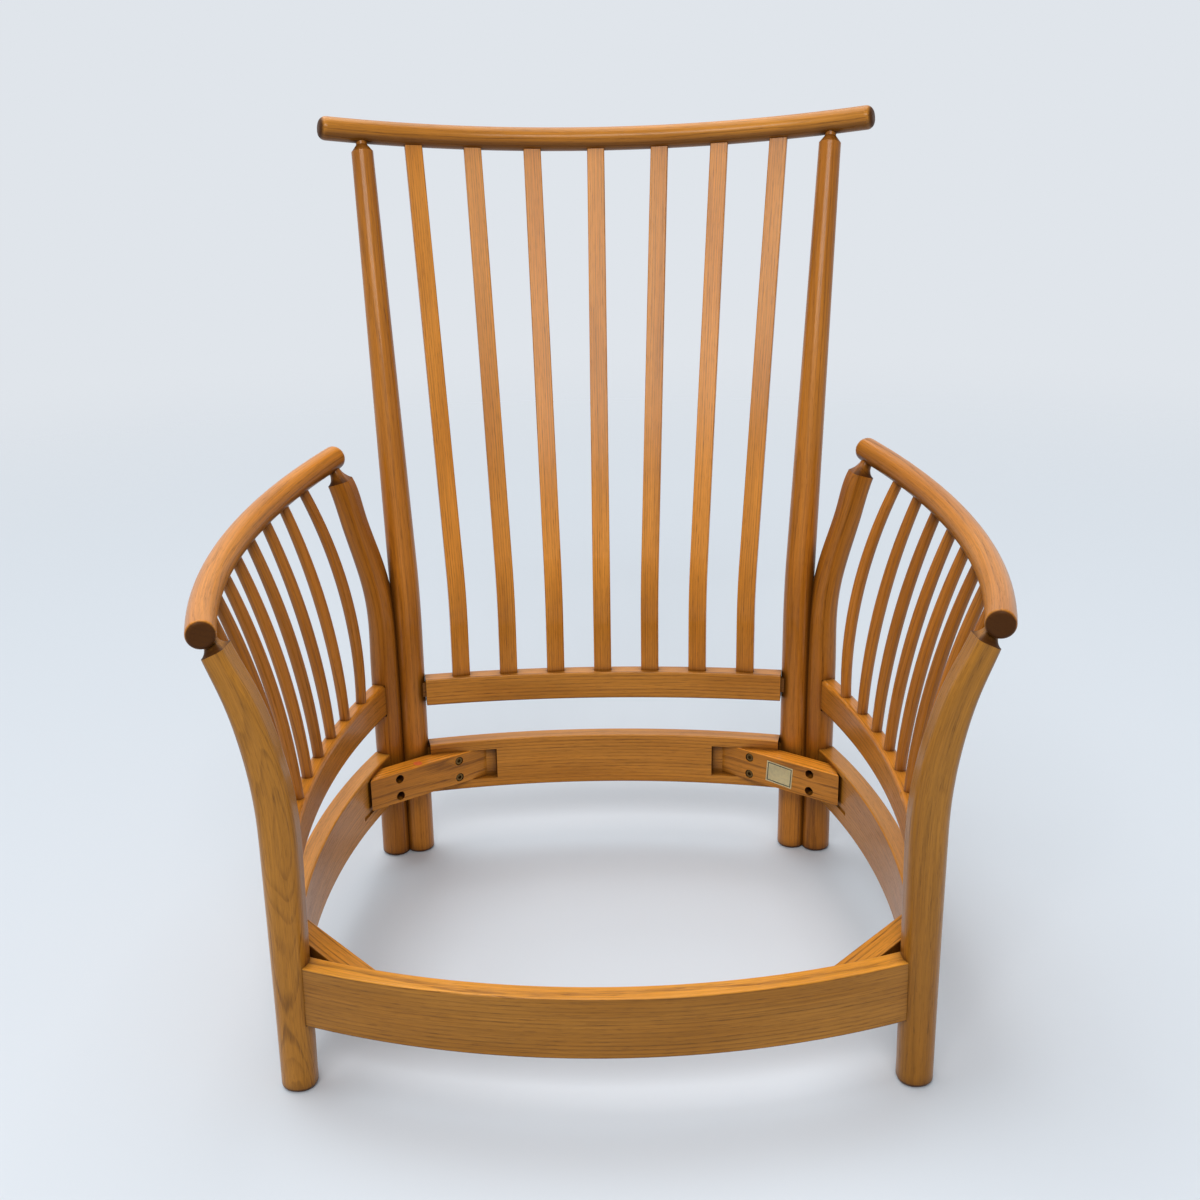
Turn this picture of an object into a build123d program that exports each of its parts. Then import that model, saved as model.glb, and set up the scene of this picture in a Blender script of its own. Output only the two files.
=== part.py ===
from build123d import *
import os
from collections import namedtuple
from math import asin, atan, atan2, cos, degrees, pi, radians, sin, sqrt, tan

# A high-backed easy chair frame of bent and shaped wood, without its cushions.
# Units are millimetres. X runs to the viewer's right, Y to the rear, Z up.
# The origin lies on the floor, under the middle of the chair's bounding box.
# Left and right are those of someone who stands in front of the chair and looks at it.

# Fits
glue_gap = 0.15
tenon_gap = 0.2
tenon_stop = 5.0
cut_overrun = 2.0

# Stance, measured between the axes of the feet
front_leg_spread = 673.0
stile_spread = 532.0
arm_leg_spread = 596.5
stile_set_back = 552.5
arm_leg_set_back = 543.0
foot_round = 5.0

# Round bars of the crest and the arms
bar_diameter = 31.5
bar_end_round = 10.0
arm_front_round = 5.0

# Crest rail
crest_height = 976.0
crest_stile_spread = 635.0
crest_set_back = 198.8
crest_length = 742.0
crest_bow = 75.0
crest_rake = 18.5

# Back stiles
stile_foot_diameter = 39.5
stile_top_diameter = 29.5
stile_bend_height = 373.0
stile_bend_radius = 260.0
stile_neck_diameter = 15.0
stile_neck_length = 12.0
stile_cone_length = 9.5

# Lower back rail
lower_rail_top = 264.5
lower_rail_height = 38.0
lower_rail_bow = 24.8
lower_rail_forward = 12.2

# Back slats
slat_count = 7
slat_width = 23.8
slat_thickness = 9.0
slat_edge_round = 1.2
slat_mortise_depth = 12.0
slat_bottom_spread = 391.0
slat_top_spread = 500.0
slat_top_shares = (0.0, 0.354, 0.682, 1.0)
slat_bend_height = 378.0
slat_bend_radius = 230.0

# Seat rails
rail_height = 72.0
rail_thickness = 24.0
side_rail_thickness = 24.0
rail_edge_round = 2.0
rear_rail_top = 166.0
rear_rail_bow = 34.4
rear_rail_forward = 10.9
front_rail_top = 153.5
front_rail_bow = 71.0
front_rail_back = 4.5
side_rail_top = 158.5
side_rail_height = 74.0
side_rail_bow = 33.5
side_rail_front_outset = 1.5
side_rail_rear_outset = 4.5
rail_tenon_thickness = 9.0
rail_tenon_shoulder = 9.0
stile_tenon_depth = 11.5
stile_tenon_set_back = 4.5
leg_tenon_depth = 6.0
leg_rail_inset = 14.5
leg_pocket_reach = 12.0

# Spindle rails under the arms
spindle_rail_top = 261.0
spindle_rail_height = 45.5
spindle_rail_thickness = 20.5
spindle_rail_bow = 30.5
spindle_rail_front_inset = 2.5
spindle_rail_rear_outset = 4.0
spindle_rail_round = 5.0

# Front legs
leg_width = 39.0
leg_depth = 41.0
leg_swell = 2.0
leg_foot_corner = 18.5
leg_top_corner = 7.0
leg_corner_power = 2.0
leg_stations = 12
leg_neck_width = 15.0
leg_neck_corner = 7.2
neck_waist_shares = (0.35, 0.4)
front_leg_bend_start = 296.0
front_leg_bend_radius = 490.0
front_leg_lean_in = 2.5
front_leg_lean_back = 4.0
front_leg_shoulder = 507.0
front_leg_top_width = 26.0
front_leg_top_depth = 36.0
front_leg_taper_power = 1.5

# Rear arm legs
arm_leg_width = 38.5
arm_leg_depth = 40.0
arm_leg_taper_start = 270.0
arm_leg_top_width = 28.0
arm_leg_top_depth = 34.0
arm_leg_bend_start = 335.0
arm_leg_bend_radius = 345.0
arm_leg_lean = 16.0
arm_leg_lean_back = 6.0
arm_leg_shoulder = 541.0

# Arms
arm_front_outset = 8.7
arm_rear_outset = 5.4
arm_front_overhang = 14.0
arm_rear_overhang = 30.0
arm_front_rise = 21.5
arm_rear_rise = 29.8
arm_bow = 48.5
arm_bow_droop = 7.0
arm_neck_inset_front = 22.0
arm_neck_inset_rear = 22.0

# Arm spindles
spindle_count = 8
spindle_first = 82.0
spindle_pitch = 58.0
spindle_end_diameter = 13.2
spindle_swell = 2.2
spindle_bend = 12.4
spindle_bend_shares = (1.65, 1.1, 1.0, 1.0, 1.0, 1.0, 1.0, 1.0)
spindle_rail_depth = 15.0
spindle_stations = 7

# Corner blocks
block_thickness = 28.0
block_height = 44.0
block_edge_round = 1.5
rear_block_top = 151.5
rear_block_rail_place = 166.5
rear_block_side_place = 97.4
rear_tip_cut = 6.5
rear_housing_depth = 11.5
rear_housing_spare = 14.0
front_block_top = 151.0
front_block_rail_place = 237.0
front_block_side_place = 102.6
housing_depth = 2.5
side_housing_spare = 24.0
side_housing_drop = 5.0

# Bolts in the corner blocks
bolt_diameter = 6.0
bolt_head_diameter = 10.0
bolt_head_height = 6.0
bolt_socket_width = 5.0
bolt_socket_depth = 3.0
bolt_hole_gap = 0.4
bolt_end_inset = 44.5
bolt_drop = 10.0
bolt_pitch = 25.0
counterbore_diameter = 12.4
shallow_counterbore = 7.0
deep_counterbore = 19.0

bar_radius = bar_diameter / 2
half_stile = stile_foot_diameter / 2
right = Vector(1, 0, 0)
rear = Vector(0, 1, 0)
up = Vector(0, 0, 1)

# A bow is a circular arc. Its angles are measured from the middle, towards its finish.
Bow = namedtuple("Bow", "centre radius out along half")


def make_bow(start, finish, rise, toward):
    """The bow from start to finish that stands off its chord by rise, on the side given."""
    chord = finish - start
    along = chord.normalized()
    out = (toward - along * toward.dot(along)).normalized()
    radius = ((chord.length / 2) ** 2 + rise**2) / (2 * rise)
    centre = start + chord * 0.5 - out * (radius - rise)
    return Bow(centre, radius, out, along, asin(chord.length / 2 / radius))


def bow_side(bow, angle):
    """The outward direction of a bow at an angle."""
    return bow.out * cos(angle) + bow.along * sin(angle)


def bow_run(bow, angle):
    """The direction of a bow at an angle, towards its finish."""
    return bow.along * cos(angle) - bow.out * sin(angle)


def bow_point(bow, angle, offset=0):
    """A point on a bow at an angle, or beside it by an offset."""
    return bow.centre + bow_side(bow, angle) * (bow.radius + offset)


def bow_plane(bow, angle):
    """The plane square to a bow at an angle, with its X outward."""
    return Plane(
        origin=bow_point(bow, angle), x_dir=bow_side(bow, angle), z_dir=bow_run(bow, angle)
    )


def bow_axis(bow):
    """The axis that a bow turns about."""
    return Axis(bow.centre, bow.out.cross(bow.along))


def between(low, high, share):
    """A value part of the way from one to another."""
    return low + (high - low) * share


# Bows of the crest rail and of the rails across the chair, about the line of the front legs
def crest_bow_at(y):
    """The crest rail's bow, where it meets the stiles at this depth."""
    half = crest_length / 2
    radius = (half**2 + crest_bow**2) / (2 * crest_bow)
    rise = sqrt(radius**2 - (crest_stile_spread / 2) ** 2) - (radius - crest_bow)
    toward = Vector(0, cos(radians(crest_rake)), -sin(radians(crest_rake)))
    end = Vector(0, y, crest_height) - toward * rise
    return make_bow(end - right * half, end + right * half, crest_bow, toward)


# The front legs stand so that the chair's box is centred on the origin, front to rear
front_reach = front_rail_bow + rail_thickness / 2 - front_rail_back
rear_reach = bow_point(crest_bow_at(stile_set_back + crest_set_back), 0).Y + bar_radius
leg_y = (front_reach - rear_reach) / 2
stile_y = leg_y + stile_set_back
arm_leg_y = leg_y + arm_leg_set_back
crest_curve = crest_bow_at(stile_y + crest_set_back)


def cross_bow(half, y, rise, toward):
    """The bow of a rail across the chair, between two points level with the posts."""
    return make_bow(Vector(-half, y, 0), Vector(half, y, 0), rise, toward)


def side_bow(front_x, rear_x, rise):
    """The bow of a rail along the right side of the chair, from front leg to rear arm leg."""
    return make_bow(Vector(front_x, leg_y, 0), Vector(rear_x, arm_leg_y, 0), rise, right)


front_rail_curve = cross_bow(
    front_leg_spread / 2, leg_y + front_rail_back, front_rail_bow, rear * -1
)
rear_rail_curve = cross_bow(stile_spread / 2, stile_y - rear_rail_forward, rear_rail_bow, rear)
lower_rail_curve = cross_bow(stile_spread / 2, stile_y - lower_rail_forward, lower_rail_bow, rear)
side_rail_curve = side_bow(
    front_leg_spread / 2 + side_rail_front_outset,
    arm_leg_spread / 2 + side_rail_rear_outset,
    side_rail_bow,
)
spindle_rail_curve = side_bow(
    front_leg_spread / 2 - spindle_rail_front_inset,
    arm_leg_spread / 2 + spindle_rail_rear_outset,
    spindle_rail_bow,
)


def mirrored(shape):
    """The left-hand copy of a right-hand shape."""
    with BuildPart() as copy:
        mirror(shape, about=Plane.YZ)
    return copy.part


def bent_bar(bow, grow):
    """A round bar bent to a bow, with square ends, made larger all round by grow."""
    with BuildPart() as bar:
        with BuildSketch(bow_plane(bow, -bow.half)):
            Circle(bar_radius + grow)
        revolve(axis=bow_axis(bow), revolution_arc=degrees(2 * bow.half))
    return bar.part


def bent_rail(bow, low, high, thickness, top, height, edge_round):
    """A rail of even thickness bent to a bow in plan, between two angles."""
    plane = bow_plane(bow, low)
    plane = Plane(
        origin=plane.origin + up * (top - height / 2), x_dir=plane.x_dir, z_dir=plane.z_dir
    )
    with BuildPart() as rail:
        with BuildSketch(plane):
            Rectangle(thickness, height)
        revolve(axis=bow_axis(bow), revolution_arc=degrees(high - low))
        fillet(rail.edges().filter_by(GeomType.CIRCLE), edge_round)
    return rail.part


def rail_tenon(bow, angle, depth, top, height, grow, shift=0):
    """A flat tenon along a rail's run, from inside the rail to its depth past the rail's end.

    A shift moves it out of the middle of the rail's thickness, to the outside of the bow.
    """
    way = 1 if angle > 0 else -1
    run = bow_run(bow, angle) * way
    start = bow_point(bow, angle) - run * depth
    tenon_height = height - 2 * rail_tenon_shoulder
    plane = Plane(
        origin=start + up * (top - height / 2), x_dir=bow_side(bow, angle), z_dir=run
    )
    with BuildPart() as tenon:
        with BuildSketch(plane):
            with Locations((shift, 0)):
                Rectangle(rail_tenon_thickness + 2 * grow, tenon_height + 2 * grow)
        extrude(amount=2 * depth + grow)
    return tenon.part


def rail_pocket(bow, angle, thickness, top, height):
    """The shallow pocket in a leg that takes the square end of a rail."""
    run = bow_run(bow, angle) * (1 if angle > 0 else -1)
    floor = bow_point(bow, angle) + run * glue_gap + up * (top - height / 2)
    with BuildPart() as pocket:
        with BuildSketch(Plane(origin=floor, x_dir=bow_side(bow, angle), z_dir=run * -1)):
            Rectangle(thickness + 2 * glue_gap, height + 2 * glue_gap)
        extrude(amount=leg_pocket_reach)
    return pocket.part


# Posts that bend at a height and then run straight
def bent_post(height, start, radius, limit):
    """Sideways shift and slope angle of such a post at a height."""
    rise = height - start
    turn_rise = radius * sin(limit)
    if rise <= 0:
        return 0.0, 0.0
    if rise < turn_rise:
        turn = asin(rise / radius)
        return radius * (1 - cos(turn)), turn
    return radius * (1 - cos(limit)) + (rise - turn_rise) * tan(limit), limit


def post_plane(foot, heading, height, shift, turn):
    """The plane square to a bent post, with its X towards the way that the post bends."""
    across = Vector(cos(heading), sin(heading), 0)
    origin = foot + across * shift + up * height
    run = across * sin(turn) + up * cos(turn)
    side = across * cos(turn) - up * sin(turn)
    return Plane(origin=origin, x_dir=side, z_dir=run)


# Back stiles
stile_foot = Vector(stile_spread / 2, stile_y, 0)
stile_run_x = (crest_stile_spread - stile_spread) / 2
stile_heading = atan2(crest_set_back, stile_run_x)
stile_run = sqrt(crest_set_back**2 + stile_run_x**2)
stile_rake = atan(stile_run / (crest_height - stile_bend_height))
stile_bend_start = stile_bend_height - stile_bend_radius * tan(stile_rake / 2)
stile_bend_end = stile_bend_start + stile_bend_radius * sin(stile_rake)
stile_shoulder = crest_height - (bar_radius + stile_neck_length) * cos(stile_rake)


def stile_plane(height):
    """The plane square to the right stile at a height."""
    shift, turn = bent_post(height, stile_bend_start, stile_bend_radius, stile_rake)
    return post_plane(stile_foot, stile_heading, height, shift, turn)


stile_top_plane = stile_plane(stile_shoulder)


def stile_blank(grow):
    """The right back stile up to its shoulder, made larger all round by grow."""
    across = Vector(cos(stile_heading), sin(stile_heading), 0)
    centre = stile_foot + across * stile_bend_radius + up * stile_bend_start
    with BuildPart() as blank:
        with BuildSketch(stile_plane(0)):
            Circle(half_stile + grow)
        extrude(amount=stile_bend_start)
        if grow == 0:
            fillet(blank.faces().sort_by(Axis.Z)[0].edges(), foot_round)
        with BuildSketch(stile_plane(stile_bend_start)):
            Circle(half_stile + grow)
        revolve(axis=Axis(centre, up.cross(across)), revolution_arc=degrees(stile_rake))
        with BuildSketch(stile_plane(stile_bend_end)):
            Circle(half_stile + grow)
        with BuildSketch(stile_top_plane):
            Circle(stile_top_diameter / 2 + grow)
        loft(ruled=True)
    return blank.part


def stile_tenon(grow):
    """The round tenon of the right stile in the crest rail, with a coned neck below it."""
    with BuildPart() as tenon:
        if grow == 0:
            with BuildSketch(stile_top_plane):
                Circle(stile_top_diameter / 2)
            with BuildSketch(stile_top_plane.offset(stile_cone_length)):
                Circle(stile_neck_diameter / 2)
            loft(ruled=True)
        with BuildSketch(stile_top_plane.offset(-cut_overrun)):
            Circle(stile_neck_diameter / 2 + grow)
        extrude(amount=cut_overrun + stile_neck_length + bar_radius - tenon_stop + grow)
    return tenon.part


# Front legs and rear arm legs: lofts through rounded sections, nearly round at the floor
Station = namedtuple("Station", "height shift turn width depth corner")


def leg_blank(foot, heading, stations, grow):
    """A leg up to its shoulder, made larger all round by grow."""
    with BuildPart() as blank:
        for row in stations:
            with BuildSketch(post_plane(foot, heading, row.height, row.shift, row.turn)):
                RectangleRounded(row.width + 2 * grow, row.depth + 2 * grow, row.corner + grow)
        loft()
        if grow == 0:
            fillet(blank.faces().sort_by(Axis.Z)[0].edges(), foot_round)
    return blank.part


def leg_neck(foot, heading, row, target):
    """The scooped neck of a leg, from its shoulder to the saddle under the arm."""
    top = post_plane(foot, heading, row.height, row.shift, row.turn)
    run = (target - top.origin).normalized()
    reach = (target - top.origin).length - bar_radius
    height_share, width_share = neck_waist_shares
    waist_width = between(leg_neck_width, row.width, width_share)
    waist_depth = between(leg_neck_width, row.depth, width_share)
    waist_corner = between(leg_neck_corner, row.corner, width_share)
    neck = Plane(origin=target, x_dir=top.x_dir, z_dir=run)
    with BuildPart() as piece:
        with BuildSketch(top):
            RectangleRounded(row.width, row.depth, row.corner)
        with BuildSketch(Plane(origin=top.origin + run * reach * height_share,
                               x_dir=top.x_dir, z_dir=run)):
            RectangleRounded(waist_width, waist_depth, waist_corner)
        with BuildSketch(neck.offset(-bar_radius / 2)):
            RectangleRounded(leg_neck_width, leg_neck_width, leg_neck_corner)
        loft()
        add(bent_bar(arm_curve, glue_gap), mode=Mode.SUBTRACT)
    return piece.part


def leg_tenon(foot, heading, row, target, grow):
    """A leg's round tenon in the arm."""
    top = post_plane(foot, heading, row.height, row.shift, row.turn)
    run = (target - top.origin).normalized()
    with BuildPart() as tenon:
        with BuildSketch(Plane(origin=target - run * (bar_radius + cut_overrun), z_dir=run)):
            Circle(leg_neck_width / 2 - 2 * tenon_gap + grow)
        extrude(amount=cut_overrun + bar_radius - tenon_stop + grow)
    return tenon.part


def leg_corner(height, shoulder):
    """The corner radius of a leg at a height: a round foot that turns into a squarer leg."""
    return between(leg_foot_corner, leg_top_corner, (height / shoulder) ** leg_corner_power)


def front_leg_station(height):
    """The section of a front leg at a height."""
    shift, turn = bent_post(height, front_leg_bend_start, front_leg_bend_radius, pi / 2)
    low_share = min(1.0, height / front_leg_bend_start)
    high_share = (height - front_leg_bend_start) / (front_leg_shoulder - front_leg_bend_start)
    high_share = max(0.0, high_share)
    width = leg_width + leg_swell * low_share
    width = between(width, front_leg_top_width, high_share**front_leg_taper_power)
    depth = between(leg_depth, front_leg_top_depth, high_share)
    corner = leg_corner(height, front_leg_shoulder)
    return Station(height, shift - front_leg_lean_in * low_share, turn, width, depth, corner)


def arm_leg_station(height):
    """The section of a rear arm leg at a height."""
    shift, turn = bent_post(
        height, arm_leg_bend_start, arm_leg_bend_radius, radians(arm_leg_lean)
    )
    taper_rise = arm_leg_shoulder - arm_leg_taper_start
    high_share = max(0.0, (height - arm_leg_taper_start) / taper_rise)
    width = between(arm_leg_width, arm_leg_top_width, high_share)
    depth = between(arm_leg_depth, arm_leg_top_depth, high_share)
    return Station(height, shift, turn, width, depth, leg_corner(height, arm_leg_shoulder))


def leg_rows(station, shoulder):
    """Evenly spaced sections of a leg, from the floor to the shoulder."""
    return [station(shoulder * number / (leg_stations - 1)) for number in range(leg_stations)]


front_leg_rows = leg_rows(front_leg_station, front_leg_shoulder)
front_leg_top = front_leg_rows[-1]
front_leg_foot = Vector(front_leg_spread / 2, leg_y, 0)
front_leg_heading = atan2(front_leg_lean_back, front_leg_top.shift + front_leg_lean_in)

arm_leg_rows = leg_rows(arm_leg_station, arm_leg_shoulder)
arm_leg_top = arm_leg_rows[-1]
arm_leg_foot = Vector(arm_leg_spread / 2, arm_leg_y, 0)
arm_leg_heading = atan2(arm_leg_lean_back, arm_leg_top.shift)

arm_leg_groove = leg_blank(arm_leg_foot, arm_leg_heading, arm_leg_rows, glue_gap)


# Arms: a round bow over the shoulders of both legs, that droops a little outward
def shoulder_point(foot, heading, row):
    """The middle of a leg's shoulder."""
    return post_plane(foot, heading, row.height, row.shift, row.turn).origin


front_shoulder = shoulder_point(front_leg_foot, front_leg_heading, front_leg_top)
arm_leg_end = shoulder_point(arm_leg_foot, arm_leg_heading, arm_leg_top)
arm_curve = make_bow(
    Vector(
        front_shoulder.X + arm_front_outset,
        leg_y - arm_front_overhang,
        front_shoulder.Z + arm_front_rise,
    ),
    Vector(
        arm_leg_end.X + arm_rear_outset,
        arm_leg_y + arm_rear_overhang,
        arm_leg_end.Z + arm_rear_rise,
    ),
    arm_bow,
    Vector(cos(radians(arm_bow_droop)), 0, -sin(radians(arm_bow_droop))),
)
front_leg_target = bow_point(arm_curve, arm_neck_inset_front / arm_curve.radius - arm_curve.half)
arm_leg_target = bow_point(arm_curve, arm_curve.half - arm_neck_inset_rear / arm_curve.radius)


def front_leg_tenon(grow):
    """The right front leg's tenon in the arm."""
    return leg_tenon(front_leg_foot, front_leg_heading, front_leg_top, front_leg_target, grow)


def arm_leg_tenon(grow):
    """The right rear arm leg's tenon in the arm."""
    return leg_tenon(arm_leg_foot, arm_leg_heading, arm_leg_top, arm_leg_target, grow)


# Ends of the rails. Between the stiles they are square and butt on the round post. At the
# legs they are square too, and are let into a shallow pocket in the leg.
def butt_angle(bow):
    """The angle at which a square rail end just touches the right stile."""
    reach = stile_foot - bow.centre
    post_angle = atan2(reach.dot(bow.along), reach.dot(bow.out))
    return post_angle - asin((half_stile + glue_gap) / reach.length)


rear_rail_end = butt_angle(rear_rail_curve)
lower_rail_end = butt_angle(lower_rail_curve)
front_rail_end = front_rail_curve.half - leg_rail_inset / front_rail_curve.radius
side_rail_end = side_rail_curve.half - leg_rail_inset / side_rail_curve.radius
spindle_rail_end = spindle_rail_curve.half - leg_rail_inset / spindle_rail_curve.radius


def front_rail_tenon(grow):
    """Right tenon of the front seat rail."""
    return rail_tenon(
        front_rail_curve, front_rail_end, leg_tenon_depth, front_rail_top, rail_height, grow
    )


def rear_rail_tenon(grow):
    """Right tenon of the rear seat rail."""
    return rail_tenon(
        rear_rail_curve, rear_rail_end, stile_tenon_depth, rear_rail_top, rail_height, grow,
        stile_tenon_set_back,
    )


def lower_rail_tenon(grow):
    """Right tenon of the lower back rail."""
    return rail_tenon(
        lower_rail_curve, lower_rail_end, stile_tenon_depth, lower_rail_top, lower_rail_height,
        grow, stile_tenon_set_back,
    )


def side_rail_tenon(angle, grow):
    """Front or rear tenon of the right side seat rail."""
    return rail_tenon(
        side_rail_curve, angle, leg_tenon_depth, side_rail_top, side_rail_height, grow
    )


def spindle_rail_tenon(angle, grow):
    """Front or rear tenon of the right spindle rail."""
    return rail_tenon(
        spindle_rail_curve, angle, leg_tenon_depth, spindle_rail_top, spindle_rail_height, grow
    )


def side_rail_pocket(angle):
    """Front or rear pocket for the right side seat rail."""
    return rail_pocket(side_rail_curve, angle, side_rail_thickness, side_rail_top, side_rail_height)


def spindle_rail_pocket(angle):
    """Front or rear pocket for the right spindle rail."""
    return rail_pocket(
        spindle_rail_curve, angle, spindle_rail_thickness, spindle_rail_top, spindle_rail_height
    )


# Back slats
slat_pairs = (slat_count - 1) // 2
slat_places = range(-slat_pairs, slat_pairs + 1)


def slat_blank(place, grow):
    """One back slat, counted from the middle, bent back above the lower rail."""
    side = -1 if place < 0 else 1
    x_low = slat_bottom_spread / 2 * place / slat_pairs
    x_high = side * slat_top_spread / 2 * slat_top_shares[abs(place)]
    low = bow_point(lower_rail_curve, asin(x_low / lower_rail_curve.radius))
    high = bow_point(crest_curve, asin(x_high / crest_curve.radius))
    run = Vector(high.X - low.X, high.Y - low.Y, 0)
    back = run.normalized()
    rake = atan(run.length / (high.Z - slat_bend_height))
    stop = bar_radius - slat_mortise_depth - grow
    top_run = run.length - stop * sin(rake)
    top_height = high.Z - stop * cos(rake)
    foot_height = lower_rail_top - slat_mortise_depth - grow
    with BuildPart() as slat:
        with BuildSketch(Plane(origin=low, x_dir=back, z_dir=back.cross(up))):
            with BuildLine():
                FilletPolyline(
                    (0, foot_height),
                    (0, slat_bend_height),
                    (top_run, top_height),
                    radius=slat_bend_radius,
                )
            trace(line_width=slat_thickness + 2 * grow)
        extrude(amount=slat_width / 2 + grow, both=True)
        if grow == 0:
            across = slat_width + slat_thickness
            fillet([edge for edge in slat.edges() if edge.length > across], slat_edge_round)
    return slat.part


slat_cutters = [slat_blank(place, tenon_gap) for place in slat_places]


# Arm spindles
def spindle_shape(place, grow):
    """One right-hand arm spindle, counted from the rear, as a bent and swelled rod."""
    from_rear = spindle_first + spindle_pitch * place
    rail_angle = spindle_rail_curve.half - from_rear / spindle_rail_curve.radius
    arm_angle = arm_curve.half - (arm_neck_inset_rear + from_rear) / arm_curve.radius
    low = bow_point(spindle_rail_curve, rail_angle)
    low = low + up * (spindle_rail_top - spindle_rail_depth - grow)
    high = bow_point(arm_curve, arm_angle)
    high = high - (high - low).normalized() * (tenon_stop - grow)
    rod = make_bow(low, high, spindle_bend * spindle_bend_shares[place], right * -1)
    with BuildPart() as spindle:
        for number in range(spindle_stations):
            share = number / (spindle_stations - 1)
            diameter = spindle_end_diameter + spindle_swell * sin(pi * share)
            with BuildSketch(bow_plane(rod, rod.half * (2 * share - 1))):
                Circle(diameter / 2 + grow)
        loft()
    return spindle.part


spindle_cutters = [spindle_shape(place, glue_gap) for place in range(spindle_count)]


# Corner blocks: a straight block across each corner of the seat frame, let into two rails.
# A seat is the floor of a housing in a rail: a point, the rail's run and its way outward.
Seat = namedtuple("Seat", "point run out centre")


def meet(point, run, other_point, other_run):
    """Where two lines in plan cross."""
    turn = run.X * other_run.Y - run.Y * other_run.X
    gap = other_point - point
    share = (gap.X * other_run.Y - gap.Y * other_run.X) / turn
    return point + run * share


def seat_on(bow, angle, thickness, depth):
    """The seat at an angle of a rail, a depth below the rail's inner face."""
    return Seat(
        bow_point(bow, angle, depth - thickness / 2),
        bow_run(bow, angle),
        bow_side(bow, angle),
        bow_point(bow, angle),
    )


block_sight = block_thickness / 2
side_rear_angle = side_rail_curve.half - (rear_block_side_place - block_sight) / side_rail_curve.radius
side_front_angle = (front_block_side_place - block_sight) / side_rail_curve.radius - side_rail_curve.half
rear_angle = asin((rear_block_rail_place + block_sight) / rear_rail_curve.radius)
front_angle = asin((front_block_rail_place + block_sight) / front_rail_curve.radius)

rear_seat = seat_on(rear_rail_curve, rear_angle, rail_thickness, rear_housing_depth)
rear_side_seat = seat_on(side_rail_curve, side_rear_angle, side_rail_thickness, housing_depth)
front_seat = seat_on(front_rail_curve, front_angle, rail_thickness, housing_depth)
front_side_seat = seat_on(side_rail_curve, side_front_angle, side_rail_thickness, housing_depth)


def block_corners(side_seat, rail_seat, side_way, corner_way):
    """The corners of a block in plan: its two face corners, then its two back corners."""
    face_start = side_seat.point + side_seat.run * block_sight * side_way
    face_end = rail_seat.point - rail_seat.run * block_sight
    run = (face_end - face_start).normalized()
    back = face_start + Vector(-run.Y, run.X, 0) * corner_way * block_thickness
    side_point = side_seat.point - side_seat.out * glue_gap
    rail_point = rail_seat.point - rail_seat.out * glue_gap
    return [
        meet(face_start, run, side_point, side_seat.run),
        meet(face_start, run, rail_point, rail_seat.run),
        meet(back, run, rail_point, rail_seat.run),
        meet(back, run, side_point, side_seat.run),
    ]


def blunted(corners, seat, cut):
    """A block's corners with its tip at the side rail cut off, straight to the rear."""
    tip, face_end, back_end, back_start = corners
    start = tip + (face_end - tip).normalized() * cut
    return [start, face_end, back_end, back_start, meet(start, rear, back_start, seat.run)]


rear_corners = blunted(
    block_corners(rear_side_seat, rear_seat, -1, -1), rear_side_seat, rear_tip_cut
)
front_corners = block_corners(front_side_seat, front_seat, 1, 1)


def block_blank(corners, top, grow):
    """A corner block without its holes, made larger all round by grow."""
    with BuildPart() as block:
        with BuildSketch(Plane.XY.offset(top - block_height - grow)):
            with BuildLine():
                Polyline(*corners, close=True)
            make_face()
            if grow > 0:
                offset(amount=grow, kind=Kind.INTERSECTION)
        extrude(amount=block_height + 2 * grow)
        if grow == 0:
            fillet(block.edges().group_by(Axis.Z)[-1], block_edge_round)
    return block.part


def housing(seat, corners, spare, top, height):
    """A straight housing in a rail, longer than the block's end by a spare length."""
    marks = [(corner - seat.point).dot(seat.run) for corner in corners]
    low = min(marks) - glue_gap - spare
    high = max(marks) + glue_gap
    plane = Plane(origin=seat.point + up * (top - height), x_dir=seat.run, z_dir=(0, 0, 1))
    way = -1 if plane.y_dir.dot(seat.out) > 0 else 1
    with BuildPart() as pocket:
        with BuildSketch(plane):
            with Locations(((low + high) / 2, way * block_thickness / 2)):
                Rectangle(high - low, block_thickness)
        extrude(amount=height)
    return pocket.part


def bolt_places(corners, top, side_seat, rail_seat):
    """The four bolts of a block: plane on its face, depth of counterbore and length."""
    face_start, face_end, back_end = corners[0], corners[1], corners[2]
    run = (face_end - face_start).normalized()
    out = Vector(-run.Y, run.X, 0)
    out = out if out.dot(back_end - face_end) < 0 else out * -1
    places = []
    for row in range(2):
        height = up * (top - bolt_drop - bolt_pitch * row)
        for seat, origin, counterbore in (
            (side_seat, face_start + run * bolt_end_inset, deep_counterbore),
            (rail_seat, face_end - run * bolt_end_inset, shallow_counterbore),
        ):
            tip = meet(origin, out, seat.centre, seat.run)
            length = (tip - origin).length - counterbore
            places.append((Plane(origin=origin + height, x_dir=run, z_dir=out), counterbore, length))
    return places


def bolt_holes(places):
    """Counterbores and clearance holes, to cut from a block and from what lies behind it."""
    with BuildPart() as holes:
        for plane, counterbore, length in places:
            with BuildSketch(plane.offset(cut_overrun)):
                Circle(counterbore_diameter / 2)
            extrude(amount=-(cut_overrun + counterbore))
            with BuildSketch(plane):
                Circle(bolt_diameter / 2 + bolt_hole_gap)
            extrude(amount=-(counterbore + length + bolt_hole_gap))
    return holes.part


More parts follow.
